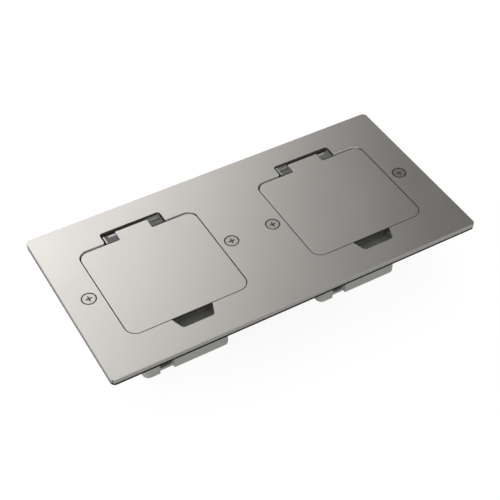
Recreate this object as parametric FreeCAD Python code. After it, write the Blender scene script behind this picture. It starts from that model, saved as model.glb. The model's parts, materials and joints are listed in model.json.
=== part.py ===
import FreeCAD, Part
import math
import os

from FreeCAD import Vector

# Floor socket box with two hinged-lid modules under one face plate.
# Millimetres. X runs along the long side, Y towards the hinges, Z up.
# The origin is the plate's centre on the finished floor, the gasket's underside.

# Face plate and gasket
plate_length = 240.0
plate_width = 120.0
plate_thickness = 2.5
plate_corner_radius = 3.0
plate_edge_radius = 0.4
module_pitch = 120.0
gasket_thickness = 1.5
gasket_inset = 0.1
gasket_clearance = 0.4

# Opening in the plate for one lid, measured from the module's centre
opening_width = 76.6
opening_front = 37.05
opening_back = 35.3
opening_front_radius = 7.2
opening_back_radius = 6.5
opening_edge_break = 0.15

# Finger notch at the front of the opening
notch_mouth_width = 25.5
notch_foot_width = 19.5
notch_depth = 8.25
notch_foot_radius = 2.2
notch_mouth_radius = 0.4

# Hinge cut-out at the back of the opening
cutout_width = 39.6
cutout_back = 43.6
cutout_radius = 2.0
cutout_mouth_radius = 1.2

# Lid
lid_thickness = 2.0
lid_side_gap = 0.4
lid_front_gap = 0.3
lid_back_gap = 1.7
lid_edge_radius = 0.2
tab_width = 21.2
tab_back_gap = 2.5
tab_corner_radius = 0.5
tab_root_radius = 0.6

# Hinge
hinge_y = 39.4
hinge_below_plate_top = 3.25
pin_radius = 1.0
pin_running_clearance = 0.05
pin_press_clearance = 0.01
pin_end_chamfer = 0.2
pin_end_play = 0.3
knuckle_radius = 2.5
block_side_inset = 0.3
block_lead = 1.0
block_nose_radius = 0.5
block_tab_inset = 0.1

# Screws through the face plate
box_screw_spacing = 92.0
box_screw_radius = 2.0
box_screw_length = 20.0
box_screw_head_radius = 4.1
box_screw_groove_width = 0.4
box_screw_groove_depth = 0.6
box_screw_clearance = 0.2
box_screw_recess_span = 4.6
box_screw_recess_width = 0.95
box_screw_recess_depth = 1.8

# Carrier frame
carrier_width = 84.0
carrier_front = 49.0
carrier_back = 47.5
carrier_corner_radius = 4.0
flange_thickness = 3.5
pocket_clearance = 0.45
ledge_below_lid = 2.0
tray_width = 68.5
tray_front = 29.0
tray_back = 29.5
tray_corner_radius = 3.5
tray_depth = 2.5
tray_floor = 2.5
tray_wall = 2.75

# Hinge lugs of the carrier frame
lug_end_gap = 1.0
lug_tab_gap = 0.35
lug_rim_height = 0.25
barrel_length = 4.6
barrel_radius = 2.85
closed_lug_front = 34.6
closed_lug_back = 41.0
closed_lug_drop = 0.6
open_lug_front = 34.9
open_lug_back = 42.7
open_lug_drop = 0.65
open_lug_neck = 1.7
open_lug_mouth = 2.6
open_lug_neck_height = 1.7
lug_end_wall = 0.9
lug_edge_radius = 0.4
hinge_pocket_clearance = 0.4
hinge_pocket_back_gap = 1.2
hinge_pocket_front = 33.6
hinge_pocket_floor_gap = 0.75
hinge_wall = 2.4

# Finger scoop of the carrier frame
scoop_radius = 5.25
scoop_back = 33.0
scoop_margin = 0.4
scoop_wall = 2.5
scoop_corner_radius = 1.0

# Lid seal
seal_width = 2.5
seal_reach = 37.25
seal_front = 32.0
seal_back = 32.5
seal_radius = 5.0
seal_top_gap = 0.25
seal_lip_radius = 0.6

# Studs and nuts that hold the carriers to the plate
stud_radius = 1.5
stud_length = 7.5
stud_chamfer = 0.3
stud_spacing = 60.0
stud_hole_clearance = 0.2
nut_across_flats = 5.5
nut_height = 2.4
nut_sides = 6
nut_face_radius = 2.7
nut_chamfer_angle = 30.0
thread_clearance = 0.05

# Flat-head screws: the head in its countersink, a plain neck under it, then the thread
head_land = 0.2
head_drop = 0.1
sink_clearance = 0.05
screw_neck_inset = 0.25
screw_neck_length = 1.7
screw_tip_taper = 0.25
screw_end_room = 0.5

# Body shell
shell_side = 57.0
shell_corner_radius = 4.0
shell_wall = 2.0
shell_floor = 1.7
shell_bottom = 49.6
shell_flange_width = 67.0
shell_flange_thickness = 2.75
shell_boss_radius = 3.0
shell_boss_depth = 6.0
groove_left = -18.6
groove_right = -9.3
groove_depth = 1.9
groove_top = 15.0
groove_pad_wall = 1.5
groove_pad_margin = 1.4
wire_hole_width = 9.0
wire_hole_height = 10.0
wire_hole_radius = 2.6
wire_hole_lift = 0.2

# Screws from the tray into the body shell
shell_screw_inset = 3.0
shell_screw_y = 20.0
shell_screw_length = 8.0
small_screw_radius = 1.5
small_head_radius = 2.75
small_recess_span = 3.0
small_recess_width = 0.65
small_recess_depth = 1.1

# Socket face
rim_side = 53.5
rim_corner_radius = 3.0
rim_thickness = 1.5
rim_edge_radius = 0.6
mouth_radius = 19.5
mouth_depth = 3.0
recess_radius = 19.0
recess_depth = 17.5
cup_wall = 2.5
cup_floor = 2.0
cup_clearance = 0.5
pin_spacing = 19.0
pin_hole_radius = 2.8
key_width = 4.4
key_reach = 2.0
clip_slot_width = 5.8
clip_slot_inner = 15.9
clip_slot_outer = 20.4

# Socket base
base_side = 49.5
base_corner_radius = 2.5
base_wall = 1.5
base_bottom = 41.0
base_floor = 1.8
shutter_space = 4.6
boss_radius = 2.4
screw_thread_depth = 8.0
rail_width = 1.5
rail_clearance = 0.3
rail_gap_half = 5.2
rail_reach = 17.0
access_radius = 3.2

# Contacts
leaf_thickness = 0.7
leaf_width = 6.0
leaf_waist = 2.2
leaf_mouth = 3.0
leaf_foot = 2.8
leaf_top_drop = 1.0
leaf_bend_height = 3.0
leaf_waist_height = 9.5
leaf_base_thickness = 0.8
terminal_length = 7.4
terminal_width = 7.8
terminal_height = 8.0
terminal_reach = 22.6
terminal_lift = 0.2
terminal_play = 0.4
terminal_corner_radius = 0.5
wire_bore_radius = 1.6
wire_bore_height = 5.4
wire_channel_width = 5.6
wire_channel_margin = 0.6

# Earth bar
strap_width = 8.0
strap_thickness = 0.8
strap_hole_radius = 2.8
clip_width = 4.6
clip_foot_y = 18.4
clip_bow_y = 16.4
clip_tip_y = 18.6
clip_bend_height = 8.6
clip_bow_height = 14.5
clip_tip_height = 20.0
earth_terminal_length = 7.0
earth_terminal_y = 15.2

# Terminal screws
terminal_screw_radius = 1.7
terminal_screw_reach = 3.7
terminal_head_radius = 2.8
terminal_head_height = 1.5
terminal_head_gap = 0.2
terminal_slot_width = 0.8
terminal_slot_depth = 0.7

# Pin shutter and its spring
shutter_travel = 5.6
shutter_thickness = 4.0
shutter_half_length = 14.5
shutter_front = 11.0
shutter_back = 5.0
shutter_corner_radius = 1.0
window_radius = 2.9
ramp_height = 3.6
ramp_inset = 0.5
boss_slot_clearance = 0.4
spring_coil_radius = 1.6
spring_wire_radius = 0.22
spring_turns = 7
spring_end_gap = 0.1
spring_packed_length = 4.0
spring_rib_width = 7.0
spring_rib_thickness = 1.0
spring_rib_height = 4.0

# Extra length of a cutting shape past the face that it cuts, and the depth
# that an added shape sinks into the one it grows from
overrun = 1.0
rooting = 0.5
same_place = 1e-4

# Levels and places that follow from the sizes above
plate_underside = gasket_thickness
plate_top = plate_underside + plate_thickness
lid_underside = plate_top - lid_thickness
lid_half_width = opening_width / 2 - lid_side_gap
lid_front = opening_front - lid_front_gap
lid_back = opening_back - lid_back_gap
tab_back = cutout_back - tab_back_gap
tab_half = tab_width / 2
cutout_half = cutout_width / 2
notch_front = opening_front + notch_depth
hinge_z = plate_top - hinge_below_plate_top
ledge_level = lid_underside - ledge_below_lid
tray_level = ledge_level - tray_depth
tray_underside = tray_level - tray_floor
flange_underside = plate_underside - flange_thickness
rim_top = tray_level + rim_thickness
recess_level = rim_top - recess_depth
cup_radius = recess_radius + cup_wall
cup_underside = recess_level - cup_floor
deck_level = cup_underside - shutter_space
pin_x = pin_spacing / 2
stud_x = stud_spacing / 2
shell_screw_x = shell_flange_width / 2 - shell_screw_inset
stud_front_y = -(opening_front + pocket_clearance + carrier_front) / 2
stud_back_y = (opening_back + pocket_clearance + carrier_back) / 2
pocket_floor_z = hinge_z - knuckle_radius - hinge_pocket_floor_gap
lug_outer = cutout_half - lug_end_gap
lug_inner = tab_half + lug_tab_gap
contact_floor = -base_bottom + base_floor
contact_level = contact_floor + terminal_lift
block_half = tab_half - block_side_inset
spring_rib_y = shutter_back + shutter_travel + spring_packed_length


def box(x_low, x_high, y_low, y_high, z_low, z_high):
    corner = Vector(x_low, y_low, z_low)
    return Part.makeBox(x_high - x_low, y_high - y_low, z_high - z_low, corner)


def upright_cylinder(radius, x, y, z_low, z_high):
    return Part.makeCylinder(radius, z_high - z_low, Vector(x, y, z_low))


def level_cylinder(radius, x_low, x_high, y, z):
    return Part.makeCylinder(radius, x_high - x_low, Vector(x_low, y, z), Vector(1, 0, 0))


def rounded_wire(corners, place):
    """Closed wire through (u, v, radius) corners, each rounded with an arc."""
    count = len(corners)
    arcs = []
    for index in range(count):
        u, v, radius = corners[index]
        before = corners[index - 1]
        after = corners[(index + 1) % count]
        corner = Vector(u, v, 0)
        to_before = Vector(before[0], before[1], 0).sub(corner).normalize()
        to_after = Vector(after[0], after[1], 0).sub(corner).normalize()
        if radius == 0:
            arcs.append((corner, corner, corner))
            continue
        half_angle = to_before.getAngle(to_after) / 2
        setback = radius / math.tan(half_angle)
        inward = to_before.add(to_after).normalize()
        centre = corner.add(inward.multiply(radius / math.sin(half_angle)))
        towards_corner = corner.sub(centre).normalize()
        start = corner.add(to_before.multiply(setback))
        end = corner.add(to_after.multiply(setback))
        middle = centre.add(towards_corner.multiply(radius))
        arcs.append((start, middle, end))
    edges = []
    for index in range(count):
        start, middle, end = arcs[index]
        next_start = arcs[(index + 1) % count][0]
        if start.distanceToPoint(end) > same_place:
            edges.append(Part.Arc(place(start), place(middle), place(end)).toShape())
        if end.distanceToPoint(next_start) > same_place:
            edges.append(Part.LineSegment(place(end), place(next_start)).toShape())
    return Part.Wire(edges)


def plan_prism(corners, z_low, z_high):
    """Outline in plan, extruded from one level to another."""
    wire = rounded_wire(corners, lambda point: Vector(point.x, point.y, z_low))
    return Part.Face(wire).extrude(Vector(0, 0, z_high - z_low))


def side_prism(corners, x_low, x_high):
    """Outline in the Y-Z plane, extruded along X."""
    wire = rounded_wire(corners, lambda point: Vector(x_low, point.x, point.y))
    return Part.Face(wire).extrude(Vector(x_high - x_low, 0, 0))


def rectangle(half_width, front, back, radius):
    """Corners of a rounded rectangle that reaches front and back of the centre."""
    return [
        (-half_width, -front, radius),
        (half_width, -front, radius),
        (half_width, back, radius),
        (-half_width, back, radius),
    ]


def edges_at(shape, level):
    """Edges that lie flat at one level."""
    found = []
    for edge in shape.Edges:
        bounds = edge.BoundBox
        if abs(bounds.ZMin - level) < same_place and abs(bounds.ZMax - level) < same_place:
            found.append(edge)
    return found


def module_centres():
    return {"left": -module_pitch / 2, "right": module_pitch / 2}


def countersunk_screw(x, y, surface, thread_radius, length, head_radius, recess):
    """Flat-head screw, pointing down from a surface, with a cross recess in its head."""
    span, width, depth = recess
    top = surface - head_drop
    neck_radius = thread_radius - screw_neck_inset
    cone_top = top - head_land
    cone_foot = cone_top - (head_radius - neck_radius)
    thread_top = cone_foot - screw_neck_length
    head = upright_cylinder(head_radius, x, y, cone_top, top)
    cone = Part.makeCone(neck_radius, head_radius, cone_top - cone_foot, Vector(x, y, cone_foot))
    neck = upright_cylinder(neck_radius, x, y, thread_top, cone_foot)
    thread = upright_cylinder(thread_radius, x, y, top - length, thread_top)
    screw = head.fuse([cone, neck, thread]).removeSplitter()
    tip = edges_at(screw, top - length)
    screw = screw.makeChamfer(thread_radius * screw_tip_taper, tip)
    foot = width / 2
    for turn in (0, 90):
        slot = side_prism(
            [
                (-span / 2, 0, 0),
                (-foot, -depth, 0),
                (foot, -depth, 0),
                (span / 2, 0, 0),
            ],
            -width / 2,
            width / 2,
        )
        slot.rotate(Vector(0, 0, 0), Vector(0, 0, 1), turn)
        slot.translate(Vector(x, y, top))
        screw = screw.cut(slot)
    return screw


def sink_hole(x, y, top, hole_radius, head_radius, floor):
    """Through hole with a 90 degree countersink that takes a flat head."""
    sink_radius = head_radius + head_land + head_drop + sink_clearance
    hole = upright_cylinder(hole_radius, x, y, floor - overrun, top + overrun)
    depth = sink_radius - hole_radius
    cone = Part.makeCone(hole_radius, sink_radius, depth, Vector(x, y, top - depth))
    mouth = upright_cylinder(sink_radius, x, y, top, top + overrun)
    return hole.fuse([cone, mouth])


def opening_outline():
    """One lid opening with its finger notch and its hinge cut-out."""
    half = opening_width / 2
    mouth = notch_mouth_width / 2
    foot = notch_foot_width / 2
    return [
        (-half, -opening_front, opening_front_radius),
        (-mouth, -opening_front, notch_mouth_radius),
        (-foot, -notch_front, notch_foot_radius),
        (foot, -notch_front, notch_foot_radius),
        (mouth, -opening_front, notch_mouth_radius),
        (half, -opening_front, opening_front_radius),
        (half, opening_back, opening_back_radius),
        (cutout_half, opening_back, cutout_mouth_radius),
        (cutout_half, cutout_back, cutout_radius),
        (-cutout_half, cutout_back, cutout_radius),
        (-cutout_half, opening_back, cutout_mouth_radius),
        (-half, opening_back, opening_back_radius),
    ]


def box_screw_places():
    places = []
    for centre in module_centres().values():
        for side in (-1, 1):
            places.append((centre + side * box_screw_spacing / 2, 0))
    return places


def stud_places():
    places = []
    for centre in module_centres().values():
        for side in (-1, 1):
            for y in (stud_front_y, stud_back_y):
                places.append((centre + side * stud_x, y))
    return places


def make_face_plate():
    outline = rectangle(plate_length / 2, plate_width / 2, plate_width / 2, plate_corner_radius)
    plate = plan_prism(outline, plate_underside, plate_top)
    plate = plate.makeFillet(plate_edge_radius, edges_at(plate, plate_top))
    hole_radius = box_screw_radius + box_screw_clearance
    for centre in module_centres().values():
        opening = plan_prism(opening_outline(), plate_underside - overrun, plate_top + overrun)
        opening.translate(Vector(centre, 0, 0))
        plate = plate.cut(opening)
    # The openings' edges are the ones at the top that lie inside the plate's own outline.
    rims = []
    for edge in edges_at(plate, plate_top):
        centre = edge.BoundBox.Center
        inside_length = abs(centre.x) < plate_length / 2 - plate_corner_radius
        inside_width = abs(centre.y) < plate_width / 2 - plate_corner_radius
        if inside_length and inside_width:
            rims.append(edge)
    plate = plate.makeChamfer(opening_edge_break, rims)
    for x, y in box_screw_places():
        plate = plate.cut(
            sink_hole(x, y, plate_top, hole_radius, box_screw_head_radius, plate_underside)
        )
        # A short straight mouth above the countersink leaves a groove round the head.
        groove_radius = box_screw_head_radius + box_screw_groove_width
        groove_floor = plate_top - box_screw_groove_depth
        plate = plate.cut(upright_cylinder(groove_radius, x, y, groove_floor, plate_top + overrun))
    return plate


def make_floor_gasket():
    half_length = plate_length / 2 - gasket_inset
    half_width = plate_width / 2 - gasket_inset
    radius = plate_corner_radius - gasket_inset
    sheet = plan_prism(
        rectangle(half_length, half_width, half_width, radius), 0, plate_underside
    )
    window = rectangle(
        carrier_width / 2 + gasket_clearance,
        carrier_front + gasket_clearance,
        carrier_back + gasket_clearance,
        carrier_corner_radius + gasket_clearance,
    )
    for centre in module_centres().values():
        hole = plan_prism(window, -overrun, plate_underside + overrun)
        hole.translate(Vector(centre, 0, 0))
        sheet = sheet.cut(hole)
    for x, y in box_screw_places():
        radius = box_screw_radius + 2 * box_screw_clearance
        sheet = sheet.cut(upright_cylinder(radius, x, y, -overrun, plate_underside + overrun))
    return sheet


def make_box_screws():
    recess = (box_screw_recess_span, box_screw_recess_width, box_screw_recess_depth)
    screws = []
    for x, y in box_screw_places():
        screws.append(
            countersunk_screw(
                x, y, plate_top, box_screw_radius, box_screw_length,
                box_screw_head_radius, recess,
            )
        )
    return Part.makeCompound(screws)


def make_plate_studs():
    studs = []
    for x, y in stud_places():
        stud = upright_cylinder(stud_radius, x, y, plate_underside - stud_length, plate_underside)
        end = edges_at(stud, plate_underside - stud_length)
        studs.append(stud.makeChamfer(stud_chamfer, end))
    return Part.makeCompound(studs)


def make_stud_nuts():
    nuts = []
    corner_radius = nut_across_flats / 2 / math.cos(math.pi / nut_sides)
    for x, y in stud_places():
        points = []
        for step in range(nut_sides + 1):
            angle = 2 * math.pi * step / nut_sides
            points.append(
                Vector(
                    x + corner_radius * math.cos(angle),
                    y + corner_radius * math.sin(angle),
                    flange_underside - nut_height,
                )
            )
        hexagon = Part.Face(Part.makePolygon(points)).extrude(Vector(0, 0, nut_height))
        # A cone trims the hexagon's lower corners, as on a turned nut.
        trim = Part.makeCone(
            nut_face_radius,
            nut_face_radius + nut_height / math.tan(math.radians(nut_chamfer_angle)),
            nut_height,
            Vector(x, y, flange_underside - nut_height),
        )
        bore_radius = stud_radius + thread_clearance
        bore = upright_cylinder(
            bore_radius, x, y, flange_underside - nut_height - overrun, flange_underside + overrun
        )
        nuts.append(hexagon.common(trim).cut(bore))
    return Part.makeCompound(nuts)


def lug_block(front, back, top, x_low, x_high):
    """Block that stands on the hinge pocket's floor, with rounded upper edges."""
    foot = pocket_floor_z - rooting
    corners = [(front, foot, 0), (front, top, lug_edge_radius), (back, top, lug_edge_radius), (back, foot, 0)]
    return side_prism(corners, x_low, x_high)


def make_closed_lug():
    """Lug with a round barrel beside the tab, for the left side of a frame."""
    top = plate_top - closed_lug_drop
    block = lug_block(closed_lug_front, closed_lug_back, top, -lug_outer, -lug_inner)
    rim = lug_block(
        closed_lug_front, closed_lug_back, top + lug_rim_height, -lug_outer, lug_end_wall - lug_outer
    )
    barrel = level_cylinder(
        barrel_radius, -(lug_inner + barrel_length), -lug_inner, hinge_y, hinge_z
    )
    bore = level_cylinder(
        pin_radius + pin_running_clearance,
        -(lug_outer - lug_end_wall), -lug_inner + overrun,
        hinge_y, hinge_z,
    )
    return block.fuse([rim, barrel]).cut(bore)


def make_open_lug():
    """Lug with a bearing that is open at its top, for the right side of a frame."""
    top = plate_top - open_lug_drop
    block = lug_block(open_lug_front, open_lug_back, top, lug_inner, lug_outer)
    rim = lug_block(
        open_lug_front, open_lug_back, top + lug_rim_height, lug_outer - lug_end_wall, lug_outer
    )
    bore_end = lug_outer - lug_end_wall
    bore = level_cylinder(
        pin_radius + pin_running_clearance, lug_inner - overrun, bore_end, hinge_y, hinge_z
    )
    neck = box(
        lug_inner - overrun, bore_end,
        hinge_y - open_lug_neck / 2, hinge_y + open_lug_neck / 2,
        hinge_z, top + overrun,
    )
    flare = side_prism(
        [
            (hinge_y - open_lug_neck / 2, hinge_z + open_lug_neck_height, 0),
            (hinge_y + open_lug_neck / 2, hinge_z + open_lug_neck_height, 0),
            (hinge_y + open_lug_mouth / 2, top, 0),
            (hinge_y - open_lug_mouth / 2, top, 0),
        ],
        lug_inner - overrun,
        bore_end,
    )
    return block.fuse(rim).cut(bore.fuse([neck, flare]))


def make_scoop():
    """Hollow for a finger, below the notch and under the lid's front edge."""
    mouth = notch_mouth_width / 2 + scoop_margin
    foot = notch_foot_width / 2 + scoop_margin
    front = notch_front + scoop_margin
    plan = plan_prism(
        [
            (-foot, -front, notch_foot_radius),
            (foot, -front, notch_foot_radius),
            (mouth, -opening_front, 0),
            (mouth, -scoop_back, scoop_corner_radius),
            (-mouth, -scoop_back, scoop_corner_radius),
            (-mouth, -opening_front, 0),
        ],
        plate_underside - scoop_radius - overrun,
        plate_underside + overrun,
    )
    bottom = plate_underside - scoop_radius
    profile = side_prism(
        [
            (-front, plate_underside + overrun, 0),
            (-front, bottom, scoop_radius),
            (-scoop_back, bottom, scoop_corner_radius),
            (-scoop_back, plate_underside + overrun, 0),
        ],
        -mouth - overrun,
        mouth + overrun,
    )
    return plan.common(profile)


def make_carrier_frame():
    """Frame of the left module; the right one is its mirror image."""
    half = carrier_width / 2
    flange = plan_prism(
        rectangle(half, carrier_front, carrier_back, carrier_corner_radius),
        flange_underside, plate_underside,
    )
    tray = plan_prism(
        rectangle(
            tray_width / 2 + tray_wall,
            tray_front + tray_wall,
            tray_back + tray_wall,
            tray_corner_radius + tray_wall,
        ),
        tray_underside, flange_underside,
    )
    pocket_half = cutout_half + hinge_pocket_clearance
    pocket_back = cutout_back + hinge_pocket_back_gap
    hinge_box = box(
        -pocket_half - hinge_wall, pocket_half + hinge_wall,
        tray_back, pocket_back + hinge_wall,
        tray_underside, flange_underside,
    )
    scoop_half = notch_mouth_width / 2 + scoop_margin + scoop_wall
    scoop_front = notch_front + scoop_margin + scoop_wall
    scoop_box = box(
        -scoop_half, scoop_half, -scoop_front, -tray_front,
        plate_underside - scoop_radius - scoop_wall, flange_underside,
    )
    upright = []
    for edge in scoop_box.Edges:
        bounds = edge.BoundBox
        if bounds.ZLength > same_place and bounds.YMax < -tray_front - same_place:
            upright.append(edge)
    scoop_box = scoop_box.makeFillet(notch_foot_radius + scoop_margin, upright)
    frame = flange.fuse([tray, hinge_box, scoop_box]).removeSplitter()

    frame = frame.cut(
        plan_prism(
            rectangle(
                opening_width / 2 + pocket_clearance,
                opening_front + pocket_clearance,
                opening_back + pocket_clearance,
                opening_back_radius + pocket_clearance,
            ),
            ledge_level, plate_underside + overrun,
        )
    )
    frame = frame.cut(
        plan_prism(
            rectangle(tray_width / 2, tray_front, tray_back, tray_corner_radius),
            tray_level, ledge_level + overrun,
        )
    )
    frame = frame.cut(
        upright_cylinder(
            cup_radius + cup_clearance, 0, 0, tray_underside - overrun, tray_level + overrun
        )
    )
    frame = frame.cut(
        plan_prism(
            [
                (-pocket_half, hinge_pocket_front, cutout_mouth_radius),
                (pocket_half, hinge_pocket_front, cutout_mouth_radius),
                (pocket_half, pocket_back, cutout_radius),
                (-pocket_half, pocket_back, cutout_radius),
            ],
            pocket_floor_z, plate_underside + overrun,
        )
    )
    frame = frame.cut(make_scoop())
    frame = frame.fuse([make_closed_lug(), make_open_lug()]).removeSplitter()
    for side in (-1, 1):
        for y in (stud_front_y, stud_back_y):
            hole = upright_cylinder(
                stud_radius + stud_hole_clearance,
                side * stud_x, y, flange_underside - overrun, plate_underside + overrun,
            )
            frame = frame.cut(hole)
        for y in (-shell_screw_y, shell_screw_y):
            hole_radius = small_screw_radius + stud_hole_clearance
            frame = frame.cut(
                sink_hole(
                    side * shell_screw_x, y, tray_level,
                    hole_radius, small_head_radius, tray_underside,
                )
            )
    return frame


def lid_outline():
    return [
        (-lid_half_width, -lid_front, opening_front_radius - lid_side_gap),
        (lid_half_width, -lid_front, opening_front_radius - lid_side_gap),
        (lid_half_width, lid_back, opening_back_radius - lid_side_gap),
        (tab_half, lid_back, tab_root_radius),
        (tab_half, tab_back, tab_corner_radius),
        (-tab_half, tab_back, tab_corner_radius),
        (-tab_half, lid_back, tab_root_radius),
        (-lid_half_width, lid_back, opening_back_radius - lid_side_gap),
    ]


def make_lid_panel():
    panel = plan_prism(lid_outline(), lid_underside, plate_top)
    return panel.makeFillet(lid_edge_radius, edges_at(panel, plate_top))


def make_lid_hinge_block():
    """Block under the tab; its round end turns about the pin."""
    front = lid_back + block_lead
    plain = side_prism(
        [
            (front, hinge_z, block_nose_radius),
            (hinge_y, hinge_z - knuckle_radius, 0),
            (hinge_y, lid_underside, 0),
            (front, lid_underside, 0),
        ],
        -block_half, block_half,
    )
    round_end = level_cylinder(knuckle_radius, -block_half, block_half, hinge_y, hinge_z)
    reach = hinge_y + knuckle_radius
    side = block_half + overrun
    above = box(
        -side, side, front - overrun, reach + overrun, lid_underside, plate_top + overrun
    )
    rear = box(
        -side, side, tab_back - block_tab_inset, reach + overrun,
        hinge_z - knuckle_radius - overrun, plate_top,
    )
    bore = level_cylinder(
        pin_radius + pin_press_clearance, -side, side, hinge_y, hinge_z
    )
    return plain.fuse(round_end).cut(above).cut(rear).cut(bore).removeSplitter()


def make_hinge_pin():
    end = lug_outer - lug_end_wall - pin_end_play
    pin = level_cylinder(pin_radius, -end, end, hinge_y, hinge_z)
    rims = [edge for edge in pin.Edges if edge.BoundBox.XLength < same_place]
    return pin.makeChamfer(pin_end_chamfer, rims)


def make_lid_seal():
    top = lid_underside - seal_top_gap
    outer = plan_prism(
        rectangle(seal_reach, seal_front, seal_back, seal_radius), ledge_level, top
    )
    inner = plan_prism(
        rectangle(
            seal_reach - seal_width, seal_front - seal_width,
            seal_back - seal_width, seal_radius - seal_width,
        ),
        ledge_level - overrun, top + overrun,
    )
    ring = outer.cut(inner)
    return ring.makeFillet(seal_lip_radius, edges_at(ring, top))


def make_body_shell():
    half = shell_side / 2
    inner = half - shell_wall
    shell = plan_prism(
        rectangle(half, half, half, shell_corner_radius), -shell_bottom, tray_underside
    )
    flange = plan_prism(
        rectangle(shell_flange_width / 2, half, half, shell_corner_radius),
        tray_underside - shell_flange_thickness, tray_underside,
    )
    bosses = []
    for side in (-1, 1):
        for y in (-shell_screw_y, shell_screw_y):
            bosses.append(
                upright_cylinder(
                    shell_boss_radius, side * shell_screw_x, y,
                    tray_underside - shell_boss_depth, tray_underside,
                )
            )
    shell = shell.fuse([flange] + bosses)
    cavity = plan_prism(
        rectangle(inner, inner, inner, shell_corner_radius - shell_wall),
        -shell_bottom + shell_floor, tray_underside + overrun,
    )
    shell = shell.cut(cavity)

    pad_back = -(half - groove_depth - groove_pad_wall)
    pad = box(
        groove_left - groove_pad_margin, groove_right + groove_pad_margin,
        -half + shell_wall / 2, pad_back,
        -shell_bottom + shell_floor / 2, -groove_top + groove_pad_margin,
    )
    groove_middle = (groove_left + groove_right) / 2
    groove_half = (groove_right - groove_left) / 2
    groove = box(
        groove_left, groove_right, -half - overrun, -half + groove_depth,
        -shell_bottom - overrun, -groove_top - groove_half,
    )
    groove_end = Part.makeCylinder(
        groove_half, groove_depth + overrun,
        Vector(groove_middle, -half - overrun, -groove_top - groove_half), Vector(0, 1, 0),
    )
    shell = shell.fuse(pad).cut(groove.fuse(groove_end))

    hole_low = -shell_bottom + shell_floor + wire_hole_lift
    wire_hole = box(
        groove_middle - wire_hole_width / 2, groove_middle + wire_hole_width / 2,
        -half - overrun, pad_back + overrun, hole_low, hole_low + wire_hole_height,
    )
    along_y = [edge for edge in wire_hole.Edges if edge.BoundBox.YLength > same_place]
    shell = shell.cut(wire_hole.makeFillet(wire_hole_radius, along_y))

    for side in (-1, 1):
        for y in (-shell_screw_y, shell_screw_y):
            shell = shell.cut(
                upright_cylinder(
                    small_screw_radius + thread_clearance, side * shell_screw_x, y,
                    tray_level - shell_screw_length - screw_end_room, tray_underside + overrun,
                )
            )
    return shell.removeSplitter()


def make_shell_screws():
    recess = (small_recess_span, small_recess_width, small_recess_depth)
    screws = []
    for side in (-1, 1):
        for y in (-shell_screw_y, shell_screw_y):
            screws.append(
                countersunk_screw(
                    side * shell_screw_x, y, tray_level, small_screw_radius,
                    shell_screw_length, small_head_radius, recess,
                )
            )
    return Part.makeCompound(screws)


def make_socket_face():
    rim_half = rim_side / 2
    rim = plan_prism(
        rectangle(rim_half, rim_half, rim_half, rim_corner_radius), tray_level, rim_top
    )
    rim = rim.makeFillet(rim_edge_radius, edges_at(rim, rim_top))
    cup = upright_cylinder(cup_radius, 0, 0, cup_underside, tray_level + rooting)
    mouth_level = rim_top - mouth_depth
    recess = upright_cylinder(recess_radius, 0, 0, recess_level, mouth_level)
    mouth = upright_cylinder(mouth_radius, 0, 0, mouth_level, rim_top + overrun)
    face = rim.fuse(cup).cut(recess.fuse(mouth))
    for side in (-1, 1):
        key = box(
            min(side * (recess_radius - key_reach), side * (recess_radius + rooting)),
            max(side * (recess_radius - key_reach), side * (recess_radius + rooting)),
            -key_width / 2, key_width / 2, recess_level - rooting, mouth_level,
        )
        face = face.fuse(key)
    for side in (-1, 1):
        slot = box(
            -clip_slot_width / 2, clip_slot_width / 2,
            min(side * clip_slot_inner, side * clip_slot_outer),
            max(side * clip_slot_inner, side * clip_slot_outer),
            cup_underside - overrun, mouth_level,
        )
        face = face.cut(slot)
        pin_hole = upright_cylinder(
            pin_hole_radius, side * pin_x, 0, cup_underside - overrun, recess_level + overrun
        )
        face = face.cut(pin_hole)
    rib = box(
        -spring_rib_width / 2, spring_rib_width / 2,
        spring_rib_y, spring_rib_y + spring_rib_thickness,
        cup_underside - spring_rib_height, cup_underside + rooting,
    )
    face = face.fuse(rib)
    hole = sink_hole(
        0, 0, recess_level, small_screw_radius + stud_hole_clearance,
        small_head_radius, cup_underside,
    )
    return face.cut(hole).removeSplitter()


def make_face_screw():
    recess = (small_recess_span, small_recess_width, small_recess_depth)
    length = cup_floor + shutter_space + screw_thread_depth - screw_end_room
    return countersunk_screw(
        0, 0, recess_level, small_screw_radius, length, small_head_radius, recess
    )


def terminal_places():
    """Screw axis and underside level of the three terminal blocks."""
    x = terminal_reach - terminal_length / 2
    earth_bottom = deck_level - strap_thickness - terminal_height
    return [(-x, 0, contact_level), (x, 0, contact_level), (0, -earth_terminal_y, earth_bottom)]


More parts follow.
